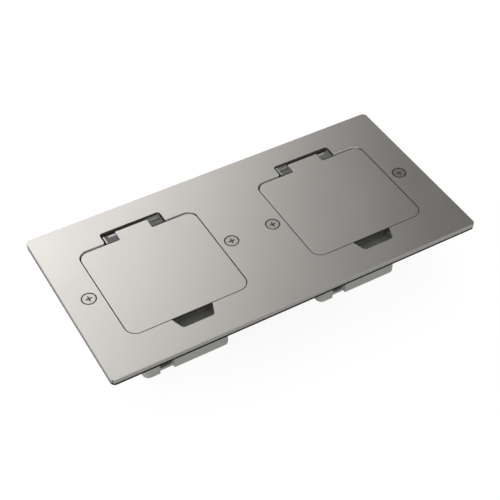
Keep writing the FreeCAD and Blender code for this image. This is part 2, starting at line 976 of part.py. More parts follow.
def make_socket_base():
    half = base_side / 2
    inner = half - base_wall
    base = plan_prism(
        rectangle(half, half, half, base_corner_radius), -base_bottom, tray_underside
    )
    cavity = plan_prism(
        rectangle(inner, inner, inner, base_corner_radius - base_wall),
        deck_level, tray_underside + overrun,
    )
    base = base.cut(cavity)
    additions = [upright_cylinder(boss_radius, 0, 0, deck_level - overrun, cup_underside)]
    rail_start = shutter_half_length + rail_clearance
    for side in (-1, 1):
        for end in (-1, 1):
            additions.append(
                box(
                    min(side * rail_start, side * (rail_start + rail_width)),
                    max(side * rail_start, side * (rail_start + rail_width)),
                    min(end * rail_gap_half, end * rail_reach),
                    max(end * rail_gap_half, end * rail_reach),
                    deck_level - overrun, cup_underside,
                )
            )
    base = base.fuse(additions).removeSplitter()

    cuts = []
    wire_channel_top = wire_bore_height + wire_bore_radius + wire_channel_margin
    pocket_side = leaf_mouth + leaf_thickness + terminal_play
    block_side = terminal_width / 2 + terminal_play
    block_start = terminal_reach - terminal_length - terminal_play
    leaf_start = pin_x - leaf_width / 2 - terminal_play
    for side in (-1, 1):
        cuts.append(
            box(
                min(side * leaf_start, side * (block_start + overrun)),
                max(side * leaf_start, side * (block_start + overrun)),
                -pocket_side, pocket_side, contact_floor, deck_level + overrun,
            )
        )
        reach = terminal_reach + terminal_play
        cuts.append(
            box(
                min(side * block_start, side * reach), max(side * block_start, side * reach),
                -block_side, block_side, contact_floor, deck_level + rooting,
            )
        )
        channel_x = side * (terminal_reach - terminal_length / 2)
        cuts.append(
            box(
                channel_x - wire_channel_width / 2, channel_x + wire_channel_width / 2,
                -half - overrun, -block_side + rooting,
                -base_bottom - overrun, contact_level + wire_channel_top,
            )
        )
    strap_half = strap_width / 2 + terminal_play
    cuts.append(
        box(
            -strap_half, strap_half, -clip_foot_y - terminal_play, clip_foot_y + terminal_play,
            deck_level - strap_thickness - terminal_lift, deck_level + rooting,
        ).cut(
            upright_cylinder(
                boss_radius, 0, 0, deck_level - strap_thickness - overrun, deck_level + overrun
            )
        )
    )
    earth_half = earth_terminal_length / 2 + terminal_play
    earth_floor = deck_level - strap_thickness - terminal_height - terminal_play
    cuts.append(
        box(
            -earth_half, earth_half,
            -earth_terminal_y - earth_half, -earth_terminal_y + earth_half,
            earth_floor, deck_level,
        )
    )
    cuts.append(
        box(
            -wire_channel_width / 2, wire_channel_width / 2,
            -half - overrun, -earth_terminal_y - earth_half + rooting,
            -base_bottom - overrun, earth_floor + terminal_play + wire_channel_top,
        )
    )
    for x, y, bottom in terminal_places():
        cuts.append(upright_cylinder(access_radius, x, y, -base_bottom - overrun, bottom))
    thread_radius = small_screw_radius + thread_clearance
    cuts.append(
        upright_cylinder(
            thread_radius, 0, 0, deck_level - screw_thread_depth, cup_underside + overrun
        )
    )
    for shape in cuts:
        base = base.cut(shape)
    return base.removeSplitter()


def ribbon(points, thickness, x_low, x_high):
    """Bent strip: a path in the Y-Z plane with one thickness, extruded along X."""
    left = []
    right = []
    count = len(points)
    for index in range(count):
        here = Vector(0, points[index][0], points[index][1])
        turns = []
        if index > 0:
            turns.append(here.sub(Vector(0, *points[index - 1])).normalize())
        if index < count - 1:
            turns.append(Vector(0, *points[index + 1]).sub(here).normalize())
        along = turns[0] if len(turns) == 1 else turns[0].add(turns[1]).normalize()
        normal = Vector(0, -along.z, along.y)
        stretch = 1 / (normal.z * turns[0].y - normal.y * turns[0].z)
        offset = normal.multiply(thickness / 2 * stretch)
        left.append(here.add(offset))
        right.append(here.sub(offset))
    outline = left + right[::-1] + [left[0]]
    shift = Vector(x_low, 0, 0)
    face = Part.Face(Part.makePolygon([point.add(shift) for point in outline]))
    return face.extrude(Vector(x_high - x_low, 0, 0))


def make_contact(side):
    """Clamp for one plug pin and its terminal block; side is -1 or 1."""
    x_inner = pin_x - leaf_width / 2
    top = deck_level - leaf_top_drop
    bottom = contact_level + leaf_base_thickness / 2
    pieces = []
    for face in (-1, 1):
        path = [
            (face * (leaf_foot + leaf_thickness / 2), bottom),
            (face * (leaf_foot + leaf_thickness / 2), bottom + leaf_bend_height),
            (face * (leaf_waist + leaf_thickness / 2), bottom + leaf_waist_height),
            (face * (leaf_mouth + leaf_thickness / 2), top),
        ]
        pieces.append(ribbon(path, leaf_thickness, x_inner, x_inner + leaf_width))
    foot_half = leaf_foot + leaf_thickness
    foot = box(
        x_inner, terminal_reach - terminal_length + rooting, -foot_half, foot_half,
        contact_level, contact_level + leaf_base_thickness,
    )
    block = box(
        terminal_reach - terminal_length, terminal_reach,
        -terminal_width / 2, terminal_width / 2,
        contact_level, contact_level + terminal_height,
    )
    upright = [edge for edge in block.Edges if edge.BoundBox.ZLength > same_place]
    block = block.makeFillet(terminal_corner_radius, upright)
    contact = block.fuse([foot] + pieces)
    x = terminal_reach - terminal_length / 2
    wire_bore = Part.makeCylinder(
        wire_bore_radius, terminal_width + 2 * overrun,
        Vector(x, -terminal_width / 2 - overrun, contact_level + wire_bore_height), Vector(0, 1, 0),
    )
    thread = upright_cylinder(
        terminal_screw_radius + thread_clearance, x, 0,
        contact_level - overrun, contact_level + wire_bore_height,
    )
    contact = contact.cut(wire_bore.fuse(thread)).removeSplitter()
    if side < 0:
        contact = contact.mirror(Vector(0, 0, 0), Vector(1, 0, 0))
    return contact


def make_earth_bar():
    low = deck_level - strap_thickness
    strap = box(
        -strap_width / 2, strap_width / 2, -clip_foot_y, clip_foot_y, low, deck_level
    )
    pieces = []
    for side in (-1, 1):
        path = [
            (side * (clip_foot_y - strap_thickness / 2), low),
            (side * (clip_foot_y - strap_thickness / 2), deck_level + clip_bend_height),
            (side * clip_bow_y, deck_level + clip_bow_height),
            (side * clip_tip_y, deck_level + clip_tip_height),
        ]
        pieces.append(ribbon(path, strap_thickness, -clip_width / 2, clip_width / 2))
    half = earth_terminal_length / 2
    block = box(
        -half, half, -earth_terminal_y - half, -earth_terminal_y + half,
        low - terminal_height, low + rooting,
    )
    bar = strap.fuse(pieces + [block])
    hole = upright_cylinder(strap_hole_radius, 0, 0, low - overrun, deck_level + overrun)
    wire_bore = Part.makeCylinder(
        wire_bore_radius, earth_terminal_length + 2 * overrun,
        Vector(0, -earth_terminal_y - half - overrun, low - terminal_height + wire_bore_height),
        Vector(0, 1, 0),
    )
    thread = upright_cylinder(
        terminal_screw_radius + thread_clearance, 0, -earth_terminal_y,
        low - terminal_height - overrun, low - terminal_height + wire_bore_height,
    )
    return bar.cut(hole.fuse([wire_bore, thread])).removeSplitter()


def make_terminal_screws():
    screws = []
    for x, y, bottom in terminal_places():
        head_top = bottom - terminal_head_gap
        head = upright_cylinder(
            terminal_head_radius, x, y, head_top - terminal_head_height, head_top
        )
        shank = upright_cylinder(
            terminal_screw_radius, x, y, head_top - rooting, bottom + terminal_screw_reach
        )
        slot_low = head_top - terminal_head_height
        slot = box(
            x - terminal_slot_width / 2, x + terminal_slot_width / 2,
            y - terminal_head_radius - overrun, y + terminal_head_radius + overrun,
            slot_low - overrun, slot_low + terminal_slot_depth,
        )
        screws.append(head.fuse(shank).removeSplitter().cut(slot))
    return Part.makeCompound(screws)


def shutter_middle():
    return (deck_level + cup_underside) / 2


def make_pin_shutter():
    low = shutter_middle() - shutter_thickness / 2
    high = shutter_middle() + shutter_thickness / 2
    shutter = plan_prism(
        rectangle(shutter_half_length, shutter_front, shutter_back, shutter_corner_radius),
        low, high,
    )
    slot_half = boss_radius + boss_slot_clearance
    boss_slot = box(
        -slot_half, slot_half, -slot_half - shutter_travel, slot_half, low - overrun, high + overrun
    )
    shutter = shutter.cut(boss_slot)
    for side in (-1, 1):
        x = side * pin_x
        window = upright_cylinder(window_radius, x, -shutter_travel, low - overrun, high + overrun)
        ramp_foot = -shutter_travel + window_radius - ramp_inset
        ramp = side_prism(
            [
                (ramp_foot, high - ramp_height, 0),
                (ramp_foot + ramp_height + overrun, high + overrun, 0),
                (ramp_foot - overrun, high + overrun, 0),
                (ramp_foot - overrun, high - ramp_height, 0),
            ],
            x - window_radius, x + window_radius,
        )
        shutter = shutter.cut(window.fuse(ramp))
    return shutter.removeSplitter()


def make_shutter_spring():
    start = shutter_back + spring_wire_radius + spring_end_gap
    end = spring_rib_y - spring_wire_radius - spring_end_gap
    length = end - start
    helix = Part.makeHelix(length / spring_turns, length, spring_coil_radius)
    profile = Part.Wire(
        Part.makeCircle(
            spring_wire_radius, Vector(spring_coil_radius, 0, 0), Vector(0, 1, 0)
        )
    )
    coil = Part.Wire(helix).makePipeShell([profile], True, True)
    coil.rotate(Vector(0, 0, 0), Vector(1, 0, 0), -90)
    coil.translate(Vector(0, start, shutter_middle()))
    return coil


def place(shape, centre, mirrored=False):
    """Moves a module's piece to its centre, mirrored left to right if asked."""
    placed = shape.mirror(Vector(0, 0, 0), Vector(1, 0, 0)) if mirrored else shape.copy()
    placed.translate(Vector(centre, 0, 0))
    return placed


def save(name, shape):
    shape.exportStep(os.path.join("parts", name + ".step"))
    print(name, len(shape.Solids), "solids", round(shape.Volume, 2), "mm3", shape.isValid())


def main():
    os.makedirs("parts", exist_ok=True)
    save("face_plate", make_face_plate())
    save("floor_gasket", make_floor_gasket())
    save("box_screws", make_box_screws())
    save("plate_studs", make_plate_studs())
    save("stud_nuts", make_stud_nuts())
    pieces = {
        "lid_panel": make_lid_panel(),
        "lid_hinge_block": make_lid_hinge_block(),
        "hinge_pin": make_hinge_pin(),
        "lid_seal": make_lid_seal(),
        "body_shell": make_body_shell(),
        "shell_screws": make_shell_screws(),
        "socket_face": make_socket_face(),
        "face_screw": make_face_screw(),
        "socket_base": make_socket_base(),
        "line_contact": make_contact(-1),
        "neutral_contact": make_contact(1),
        "earth_bar": make_earth_bar(),
        "terminal_screws": make_terminal_screws(),
        "pin_shutter": make_pin_shutter(),
        "shutter_spring": make_shutter_spring(),
    }
    frame = make_carrier_frame()
    for name, centre in module_centres().items():
        save(name + "_carrier_frame", place(frame, centre, mirrored=name == "right"))
        for piece, shape in pieces.items():
            save(name + "_" + piece, place(shape, centre))


main()
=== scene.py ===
import json
import math

import bpy
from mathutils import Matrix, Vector


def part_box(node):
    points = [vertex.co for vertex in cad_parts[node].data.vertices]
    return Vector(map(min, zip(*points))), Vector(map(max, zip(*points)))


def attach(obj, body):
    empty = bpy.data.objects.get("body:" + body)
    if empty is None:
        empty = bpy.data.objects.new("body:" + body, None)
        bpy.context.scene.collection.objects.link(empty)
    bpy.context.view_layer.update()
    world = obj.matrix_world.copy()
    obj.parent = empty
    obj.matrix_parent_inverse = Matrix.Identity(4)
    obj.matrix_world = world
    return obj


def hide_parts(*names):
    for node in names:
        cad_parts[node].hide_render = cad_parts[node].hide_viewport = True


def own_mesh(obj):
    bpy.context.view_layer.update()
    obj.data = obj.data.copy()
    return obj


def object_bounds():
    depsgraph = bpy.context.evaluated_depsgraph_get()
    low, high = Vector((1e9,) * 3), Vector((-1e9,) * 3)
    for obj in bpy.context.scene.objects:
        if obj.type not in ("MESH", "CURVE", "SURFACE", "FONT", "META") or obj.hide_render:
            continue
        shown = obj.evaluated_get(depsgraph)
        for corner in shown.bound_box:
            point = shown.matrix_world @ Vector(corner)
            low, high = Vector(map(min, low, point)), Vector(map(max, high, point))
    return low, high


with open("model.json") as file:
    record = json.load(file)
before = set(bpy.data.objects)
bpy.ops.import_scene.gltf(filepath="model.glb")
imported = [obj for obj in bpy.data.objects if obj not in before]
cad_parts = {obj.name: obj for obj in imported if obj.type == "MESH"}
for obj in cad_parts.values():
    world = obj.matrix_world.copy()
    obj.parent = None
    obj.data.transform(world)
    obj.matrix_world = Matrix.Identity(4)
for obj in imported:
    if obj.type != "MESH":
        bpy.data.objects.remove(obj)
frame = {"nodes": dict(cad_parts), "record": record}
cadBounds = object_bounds()
nodes = frame["nodes"]
mm = 0.001
sides = ("left", "right")

layout = {
    "module": 60 * mm,              # from the plate's middle to the middle of each module
    "boxScrew": 46 * mm,            # from there to the box screw on either side
}
moduleX = {"left": -layout["module"], "right": layout["module"]}


# Small helpers that the whole script uses

def hexColour(text):
    channels = [int(text[i:i + 2], 16) / 255 for i in (1, 3, 5)]
    linear = [c / 12.92 if c <= 0.04045 else ((c + 0.055) / 1.055) ** 2.4 for c in channels]
    return (*linear, 1.0)


def addNode(tree, kind, inputs=(), **settings):
    # Inputs go by name or in order. Each is a plain value, a hex colour, a socket, a node whose first
    # output in use is meant, or a list of nodes for one input.
    node = tree.nodes.new(kind)
    for name, value in settings.items():
        setattr(node, name, value)
    pairs = inputs.items() if isinstance(inputs, dict) else enumerate(inputs)
    for name, value in pairs:
        for source in value if isinstance(value, list) else [value]:
            if isinstance(source, bpy.types.Node):
                source = next(output for output in source.outputs if output.enabled)
            if isinstance(source, bpy.types.NodeSocket):
                tree.links.new(source, node.inputs[name])
            elif isinstance(source, str):
                node.inputs[name].default_value = hexColour(source)
            else:
                node.inputs[name].default_value = source
    return node


def levelShare(tree):
    # How nearly level the surface lies: 0 on upright walls, 1 on level faces
    coordinates = addNode(tree, "ShaderNodeTexCoord")
    normal = addNode(tree, "ShaderNodeSeparateXYZ", (coordinates.outputs["Normal"],))
    return addNode(tree, "ShaderNodeMath", (normal.outputs["Z"],), operation="ABSOLUTE")


def fromScrew(tree, spot):
    # Distance along X from the nearest box screw, of which two stand beside each module's middle
    across = addNode(tree, "ShaderNodeMath", (spot["X"],), operation="ABSOLUTE")
    for distance in (layout["module"], layout["boxScrew"]):
        offset = addNode(tree, "ShaderNodeMath", (across, distance), operation="SUBTRACT")
        across = addNode(tree, "ShaderNodeMath", (offset,), operation="ABSOLUTE")
    return across


def startMaterial(name):
    material = bpy.data.materials.new(name)
    material.use_nodes = True
    material.node_tree.nodes.clear()
    return material, material.node_tree


def finishMaterial(tree, surface):
    shader = addNode(tree, "ShaderNodeBsdfPrincipled", surface)
    addNode(tree, "ShaderNodeOutputMaterial", {"Surface": shader})


def dress(node, material):
    mesh = nodes[node].data
    mesh.materials.clear()
    mesh.materials.append(material)


# Camera, at the photo's viewing angle

camera = {
    "azimuth": -29.887,             # degrees, the eye stands in front and to the left
    "elevation": 45.783,
    "distance": 679.14 * mm,
    "target": (-8.448 * mm, -12.007 * mm, 4.0 * mm),
    "focalPixels": 1160.97,         # at the photo's 500 pixels
    "framePixels": 500,
    "sensor": 36.0,
}


def addCamera(camera):
    azimuth = math.radians(camera["azimuth"])
    elevation = math.radians(camera["elevation"])
    back = Vector((
        math.sin(azimuth) * math.cos(elevation),
        -math.cos(azimuth) * math.cos(elevation),
        math.sin(elevation),
    ))
    data = bpy.data.cameras.new("camera")
    data.sensor_width = camera["sensor"]
    data.lens = camera["focalPixels"] / camera["framePixels"] * camera["sensor"]
    eye = bpy.data.objects.new("camera", data)
    eye.location = Vector(camera["target"]) + back * camera["distance"]
    eye.rotation_euler = (-back).to_track_quat("-Z", "Y").to_euler()
    bpy.context.collection.objects.link(eye)
    bpy.context.scene.camera = eye


# Studio: a pale floor and a soft sky with one brighter and one darker side

studio = {
    "floorSize": 6.0,
    "floorColour": "#C6C6C4",
    "floorSeen": "#80807F",         # the same floor to the eye, which adds the glow to it
    "floorGap": 0.02 * mm,          # the floor lies this far under the lowest face
    "floorGlow": 0.89,              # plain white added to the floor where the eye looks straight at it
    "glossGlow": 0.10,              # the same in what metal and clear parts mirror
    "sky": 0.90,
    "skySeen": 1.25,                # white to the eye, on the background's own grey of 0.8
    "brightSide": (0.070, 0.828, 0.556),
    "brightEdges": {"From Min": 0.880, "From Max": 1.020},  # cosines where it starts and is full
    "brightGain": 2.55,
    "darkSide": (0.705, 0.703, 0.090),
    "darkEdges": {"From Min": 0.005, "From Max": 0.885},
    "darkGain": -0.89,
    "leftSide": (-1.0, -0.10, 0.25),
    "leftEdges": {"From Min": 0.20, "From Max": 0.95},
    "leftGain": 0.35,
}


def addFloor(studio, lowest):
    half = studio["floorSize"] / 2
    height = lowest - studio["floorGap"]
    mesh = bpy.data.meshes.new("floor")
    corners = [(-half, -half, height), (half, -half, height), (half, half, height), (-half, half, height)]
    mesh.from_pydata(corners, [], [(0, 1, 2, 3)])
    floor = bpy.data.objects.new("floor", mesh)
    bpy.context.collection.objects.link(floor)
    material, tree = startMaterial("paleFloor")
    path = addNode(tree, "ShaderNodeLightPath").outputs
    seen = path["Is Camera Ray"]
    tone = addNode(tree, "ShaderNodeMix",
                   {"Factor": seen, "A": studio["floorColour"], "B": studio["floorSeen"]}, data_type="RGBA")
    paint = addNode(tree, "ShaderNodeBsdfDiffuse", {"Color": tone})
    mirrored = addNode(tree, "ShaderNodeMath", (path["Is Glossy Ray"], path["Is Transmission Ray"]),
                       operation="ADD")
    mirrored = addNode(tree, "ShaderNodeMath", (mirrored, studio["glossGlow"]), operation="MULTIPLY")
    strength = addNode(tree, "ShaderNodeMath", (seen, studio["floorGlow"], mirrored),
                       operation="MULTIPLY_ADD")
    glow = addNode(tree, "ShaderNodeEmission", {"Strength": strength})
    both = addNode(tree, "ShaderNodeAddShader", (paint, glow))
    addNode(tree, "ShaderNodeOutputMaterial", {"Surface": both})
    mesh.materials.append(material)


def addSky(studio):
    world = bpy.data.worlds.new("softSky")
    bpy.context.scene.world = world
    world.use_nodes = True
    tree = world.node_tree
    tree.nodes.clear()
    direction = addNode(tree, "ShaderNodeTexCoord").outputs["Generated"]
    strength = studio["sky"]
    for side in ("bright", "dark", "left"):
        axis = Vector(studio[side + "Side"]).normalized()
        towards = addNode(tree, "ShaderNodeVectorMath", (direction, axis), operation="DOT_PRODUCT")
        share = addNode(tree, "ShaderNodeMapRange", {"Value": towards, **studio[side + "Edges"]},
                        interpolation_type="SMOOTHSTEP")
        strength = addNode(tree, "ShaderNodeMath", (share, studio[side + "Gain"], strength),
                           operation="MULTIPLY_ADD")
    # The eye sees plain white past the floor's far edge
    seen = addNode(tree, "ShaderNodeLightPath").outputs["Is Camera Ray"]
    strength = addNode(tree, "ShaderNodeMix", {"Factor": seen, "A": strength, "B": studio["skySeen"]})
    sky = addNode(tree, "ShaderNodeBackground", {"Strength": strength})
    addNode(tree, "ShaderNodeOutputWorld", {"Surface": sky})
    bpy.context.scene.view_settings.view_transform = "Standard"


# Satin stainless sheet, of the plate and the lids

beyond = 1.0                        # metres, a place past the whole part
never = {"From Min": beyond, "From Max": 2 * beyond}
stainless = {
    "dark": "#DAD6D1",
    "light": "#E1DDD8",
    "brushLength": 30 * mm,
    "brushWidth": 0.25 * mm,        # the real scratches are finer; drawn as wide as the render can show
    "brushRagged": 0.55,            # share of the finer lines among them
    "brushDepth": 0.02 * mm,
    "brushStrength": 0.03,
    "cloud": 45 * mm,               # size of the slightly duller and brighter areas
    "satin": {"To Min": 0.31, "To Max": 0.37},          # roughness of the brushed faces
    "brushed": {"From Min": 0.74, "From Max": 0.97},    # how level: all cut edge, all brushed face
    "sinkRadius": 4.6 * mm,         # countersink with its broken rim, given the dark cut-edge tone as painted shade round each screw
    "edgeGrain": 0.2 * mm,
    "edgeMetallic": {"To Min": 0.05, "To Max": 0.35},   # cut edges, ground edges
    "edgeRoughness": {"To Min": 0.9, "To Max": 0.55},
    "groundDark": "#B0B0AB",
    "groundLight": "#BABAB5",
}
plateSheet = dict(
    stainless,
    # the pale tone is painted light on the cut wall behind the lid, the oil tone painted shade on the cut
    # walls round the hinge
    cutDark="#53514D", cutLight="#605E59", behindLidLight="#F0F0EC", hingeShadeTone="#54524E",
    behindLidLightFrom={"From Min": 31.0 * mm, "From Max": 33.5 * mm},
    hingeShadeFrom={"From Min": 35.4 * mm, "From Max": 36.2 * mm},
    groundSide=119.3 * mm, groundOrLitBack=59.3 * mm, groundFront=-59.3 * mm,
)
# The lid's cut edges are painted darker than the plate's, as painted shade in the notch, and the edges of its
# tab count as ground, so they are painted lighter as painted light.
lidSheet = dict(
    stainless,
    cutDark="#43413D", cutLight="#4E4C48", behindLidLight="#E0E0DC", hingeShadeTone="#5C5A56",
    behindLidLightFrom=never, hingeShadeFrom=never,
    groundSide=beyond, groundOrLitBack=33.9 * mm, groundFront=-beyond,
)


def groundShare(tree, spot, finish):
    # 1 on the outer edges, which are ground, and on the lid's tab, whose edges are painted lighter as painted
    # light; 0 on the laser-cut ones
    away = addNode(tree, "ShaderNodeMath", (spot["X"],), operation="ABSOLUTE")
    ends = addNode(tree, "ShaderNodeMath", (away, finish["groundSide"]), operation="GREATER_THAN")
    back = addNode(tree, "ShaderNodeMath", (spot["Y"], finish["groundOrLitBack"]), operation="GREATER_THAN")
    front = addNode(tree, "ShaderNodeMath", (spot["Y"], finish["groundFront"]), operation="LESS_THAN")
    either = addNode(tree, "ShaderNodeMath", (ends, back), operation="MAXIMUM")
    return addNode(tree, "ShaderNodeMath", (either, front), operation="MAXIMUM")


def edgeLook(tree, place, spot, finish):
    # Cut edges are dull and dark. Round the hinge they are painted near black, as painted shade in the hinge
    # slot. Ground edges are lighter, and the cut wall behind the lid is painted pale and more metallic, as
    # painted light.
    grit = addNode(tree, "ShaderNodeTexNoise",
                   {"Vector": place, "Scale": 1 / finish["edgeGrain"], "Detail": 4.0})
    ground = groundShare(tree, spot, finish)
    # painted light: the cut wall behind the lid is painted pale
    behindLidLight = addNode(tree, "ShaderNodeMapRange", {"Value": spot["Y"], **finish["behindLidLightFrom"]},
                   interpolation_type="SMOOTHSTEP")
    # painted shade: the cut walls round the hinge are painted near black
    hingeShade = addNode(tree, "ShaderNodeMapRange", {"Value": spot["Y"], **finish["hingeShadeFrom"]},
                    interpolation_type="SMOOTHSTEP")
    cut = addNode(tree, "ShaderNodeMix", {"Factor": grit, "A": finish["cutDark"], "B": finish["cutLight"]},
                  data_type="RGBA")
    cut = addNode(tree, "ShaderNodeMix", {"Factor": behindLidLight, "A": cut, "B": finish["behindLidLight"]}, data_type="RGBA")
    cut = addNode(tree, "ShaderNodeMix", {"Factor": hingeShade, "A": cut, "B": finish["hingeShadeTone"]}, data_type="RGBA")
    outer = addNode(tree, "ShaderNodeMix",
                    {"Factor": grit, "A": finish["groundDark"], "B": finish["groundLight"]}, data_type="RGBA")
    tone = addNode(tree, "ShaderNodeMix", {"Factor": ground, "A": cut, "B": outer}, data_type="RGBA")
    # the painted-light wall behind the lid is also made more metallic; the painted-shade hinge walls are left
    # out
    behindLidLit = addNode(tree, "ShaderNodeMath", (behindLidLight, hingeShade), operation="SUBTRACT")
    lighterEdge = addNode(tree, "ShaderNodeMath", (ground, behindLidLit), operation="MAXIMUM")
    metallic = addNode(tree, "ShaderNodeMapRange", {"Value": lighterEdge, **finish["edgeMetallic"]})
    roughness = addNode(tree, "ShaderNodeMapRange", {"Value": lighterEdge, **finish["edgeRoughness"]})
    return tone, metallic, roughness


def brushedShare(tree, spot, finish):
    # 1 on level faces, 0 on the edges and in the countersinks with their rims; the countersinks are not
    # brushed, and their dark cut-edge tone is painted shade round each screw
    level = addNode(tree, "ShaderNodeMapRange", {"Value": levelShare(tree), **finish["brushed"]},
                    interpolation_type="SMOOTHSTEP")
    offset = addNode(tree, "ShaderNodeCombineXYZ", {"X": fromScrew(tree, spot), "Y": spot["Y"]})
    distance = addNode(tree, "ShaderNodeVectorMath", (offset,), operation="LENGTH")
    outside = addNode(tree, "ShaderNodeMath", (distance, finish["sinkRadius"]), operation="GREATER_THAN")
    return addNode(tree, "ShaderNodeMath", (level, outside), operation="MULTIPLY")


def makeStainless(name, finish):
    # 304 stainless sheet with a fine satin brush along the plate: soft grey reflections, no mirror
    material, tree = startMaterial(name)
    place = addNode(tree, "ShaderNodeTexCoord").outputs["Object"]
    spot = addNode(tree, "ShaderNodeSeparateXYZ", (place,)).outputs
    along, across = 1 / finish["brushLength"], 1 / finish["brushWidth"]
    stretched = addNode(tree, "ShaderNodeMapping", {"Vector": place, "Scale": (along, across, across)})
    lines = addNode(tree, "ShaderNodeTexNoise",
                    {"Vector": stretched, "Scale": 1.0, "Detail": 3.0, "Roughness": finish["brushRagged"]})
    cloud = addNode(tree, "ShaderNodeTexNoise",
                    {"Vector": place, "Scale": 1 / finish["cloud"], "Detail": 2.0})
    satin = addNode(tree, "ShaderNodeMapRange", {"Value": cloud, **finish["satin"]})
    face = addNode(tree, "ShaderNodeMix", {"Factor": lines, "A": finish["dark"], "B": finish["light"]},
                   data_type="RGBA")
    edgeTone, edgeMetallic, edgeRoughness = edgeLook(tree, place, spot, finish)
    brushed = brushedShare(tree, spot, finish)
    bump = addNode(tree, "ShaderNodeBump", {"Height": lines, "Strength": finish["brushStrength"],
                                            "Distance": finish["brushDepth"]})
    finishMaterial(tree, {
        "Base Color": addNode(tree, "ShaderNodeMix", {"Factor": brushed, "A": edgeTone, "B": face},
                              data_type="RGBA"),
        "Metallic": addNode(tree, "ShaderNodeMix", {"Factor": brushed, "A": edgeMetallic, "B": 1.0}),
        "Roughness": addNode(tree, "ShaderNodeMix", {"Factor": brushed, "A": edgeRoughness, "B": satin}),
        "Normal": bump,
    })
    return material


# Black rubber, of the floor gasket and the lid seals

rubber = {
    "dark": "#0E0E0D",
    "light": "#181816",
    "dust": 4 * mm,
    "grain": 0.3 * mm,
    "grainDepth": 0.05 * mm,
    "grainStrength": 0.25,
    "roughness": 0.85,
    "refraction": 1.45,
    "gloss": 0.2,
}


def makeRubber(finish):
    # EPDM rubber, cut or moulded: almost black, dull, faintly dusty
    material, tree = startMaterial("epdmRubber")
    place = addNode(tree, "ShaderNodeTexCoord").outputs["Object"]
    dust = addNode(tree, "ShaderNodeTexNoise", {"Vector": place, "Scale": 1 / finish["dust"], "Detail": 5.0})
    grain = addNode(tree, "ShaderNodeTexNoise",
                    {"Vector": place, "Scale": 1 / finish["grain"], "Detail": 3.0})
    tone = addNode(tree, "ShaderNodeMix", {"Factor": dust, "A": finish["dark"], "B": finish["light"]},
                   data_type="RGBA")
    bump = addNode(tree, "ShaderNodeBump",
                   {"Height": grain, "Strength": finish["grainStrength"], "Distance": finish["grainDepth"]})
    finishMaterial(tree, {
        "Base Color": tone,
        "Roughness": finish["roughness"],
        "IOR": finish["refraction"],
        "Specular IOR Level": finish["gloss"],
        "Normal": bump,
    })
    return material


# Steel of the screws, studs and nuts

tumbledScrew = {
    "dark": "#C6C2BC",
    "light": "#DAD6D0",
    "pits": 0.5 * mm,
    "pitDepth": 0.03 * mm,
    "pitStrength": 0.15,
    "pitRoughness": 0.12,           # added where the pits are
    # painted shade: the flanks are painted dark and the recess walls mid grey, both darker than the face
    "flankShade": "#33312E",
    "face": {"From Min": 0.76, "From Max": 0.97},       # how level: all flank, all face
    "metallic": {"To Min": 0.5, "To Max": 1.0},         # flank, face
    "roughness": {"To Min": 0.46, "To Max": 0.24},
    "recessShade": "#95928D",
    "recess": 2.5 * mm,             # half the square round the axis where the cross recess lies
}


def makeScrewSteel(finish):
    # A2 stainless screw, cold headed and tumbled: bright on its face, dull in its recess.
    # Painted shade: its flanks and the edge of its head are painted dark, and the walls of its recess a mid
    # grey, as the shade round and in the head.
    material, tree = startMaterial("tumbledStainlessA2")
    place = addNode(tree, "ShaderNodeTexCoord").outputs["Object"]
    spot = addNode(tree, "ShaderNodeSeparateXYZ", (place,)).outputs
    pits = addNode(tree, "ShaderNodeTexNoise", {"Vector": place, "Scale": 1 / finish["pits"], "Detail": 4.0})
    level = addNode(tree, "ShaderNodeMapRange", {"Value": levelShare(tree), **finish["face"]},
                    interpolation_type="SMOOTHSTEP")
    along = addNode(tree, "ShaderNodeMath", (spot["Y"],), operation="ABSOLUTE")
    reach = addNode(tree, "ShaderNodeMath", (fromScrew(tree, spot), along), operation="MAXIMUM")
    inRecess = addNode(tree, "ShaderNodeMath", (reach, finish["recess"]), operation="LESS_THAN")
    face = addNode(tree, "ShaderNodeMix", {"Factor": pits, "A": finish["dark"], "B": finish["light"]},
                   data_type="RGBA")
    flankShade = addNode(tree, "ShaderNodeMix",
                    {"Factor": inRecess, "A": finish["flankShade"], "B": finish["recessShade"]}, data_type="RGBA")
    tone = addNode(tree, "ShaderNodeMix", {"Factor": level, "A": flankShade, "B": face}, data_type="RGBA")
    metallic = addNode(tree, "ShaderNodeMapRange", {"Value": level, **finish["metallic"]})
    smooth = addNode(tree, "ShaderNodeMapRange", {"Value": level, **finish["roughness"]})
    roughness = addNode(tree, "ShaderNodeMath", (pits, finish["pitRoughness"], smooth),
                        operation="MULTIPLY_ADD")
    bump = addNode(tree, "ShaderNodeBump",
                   {"Height": pits, "Strength": finish["pitStrength"], "Distance": finish["pitDepth"]})
    finishMaterial(tree, {"Base Color": tone, "Metallic": metallic, "Roughness": roughness, "Normal": bump})
    return material


# Coated casting of the frames and the hinge blocks

zincCasting = {
    "dark": "#7D7E7B",
    "light": "#898A86",
    "flow": 12 * mm,
    "peel": 0.8 * mm,
    "peelDepth": 0.06 * mm,
    "peelStrength": 0.3,
    "speck": 0.35 * mm,
    "coatRoughness": {"To Min": 0.42, "To Max": 0.56},
    "refraction": 1.5,
    # painted shade: a darker coat round the hinge
    "hingeShadeDark": "#646564",
    "hingeShadeLight": "#6F706E",
    "hingeShadeFrom": {"From Min": 33.2 * mm, "From Max": 34.2 * mm},    # from the lid's back edge to the lugs
    # painted highlight: bright bare zinc on the high rims and the wall behind the pin
    "zinc": "#C8C8C4",
    "zincMetallic": 0.8,
    "zincRoughness": 0.3,
    "highlightFrom": {"From Min": 3.42 * mm, "From Max": 3.52 * mm},   # rims and barrels stand above this
    "highlightUpTo": 0.646,            # share of the modules' pitch, up to the right-hand rim
    "slotY": 40.3 * mm,             # in the open lug the upright wall behind the pin is painted bright as a highlight
    "slotReach": 0.7 * mm,
    "slotFoot": 1.2 * mm,
    "upright": 0.8,                 # walls are less level than this
}


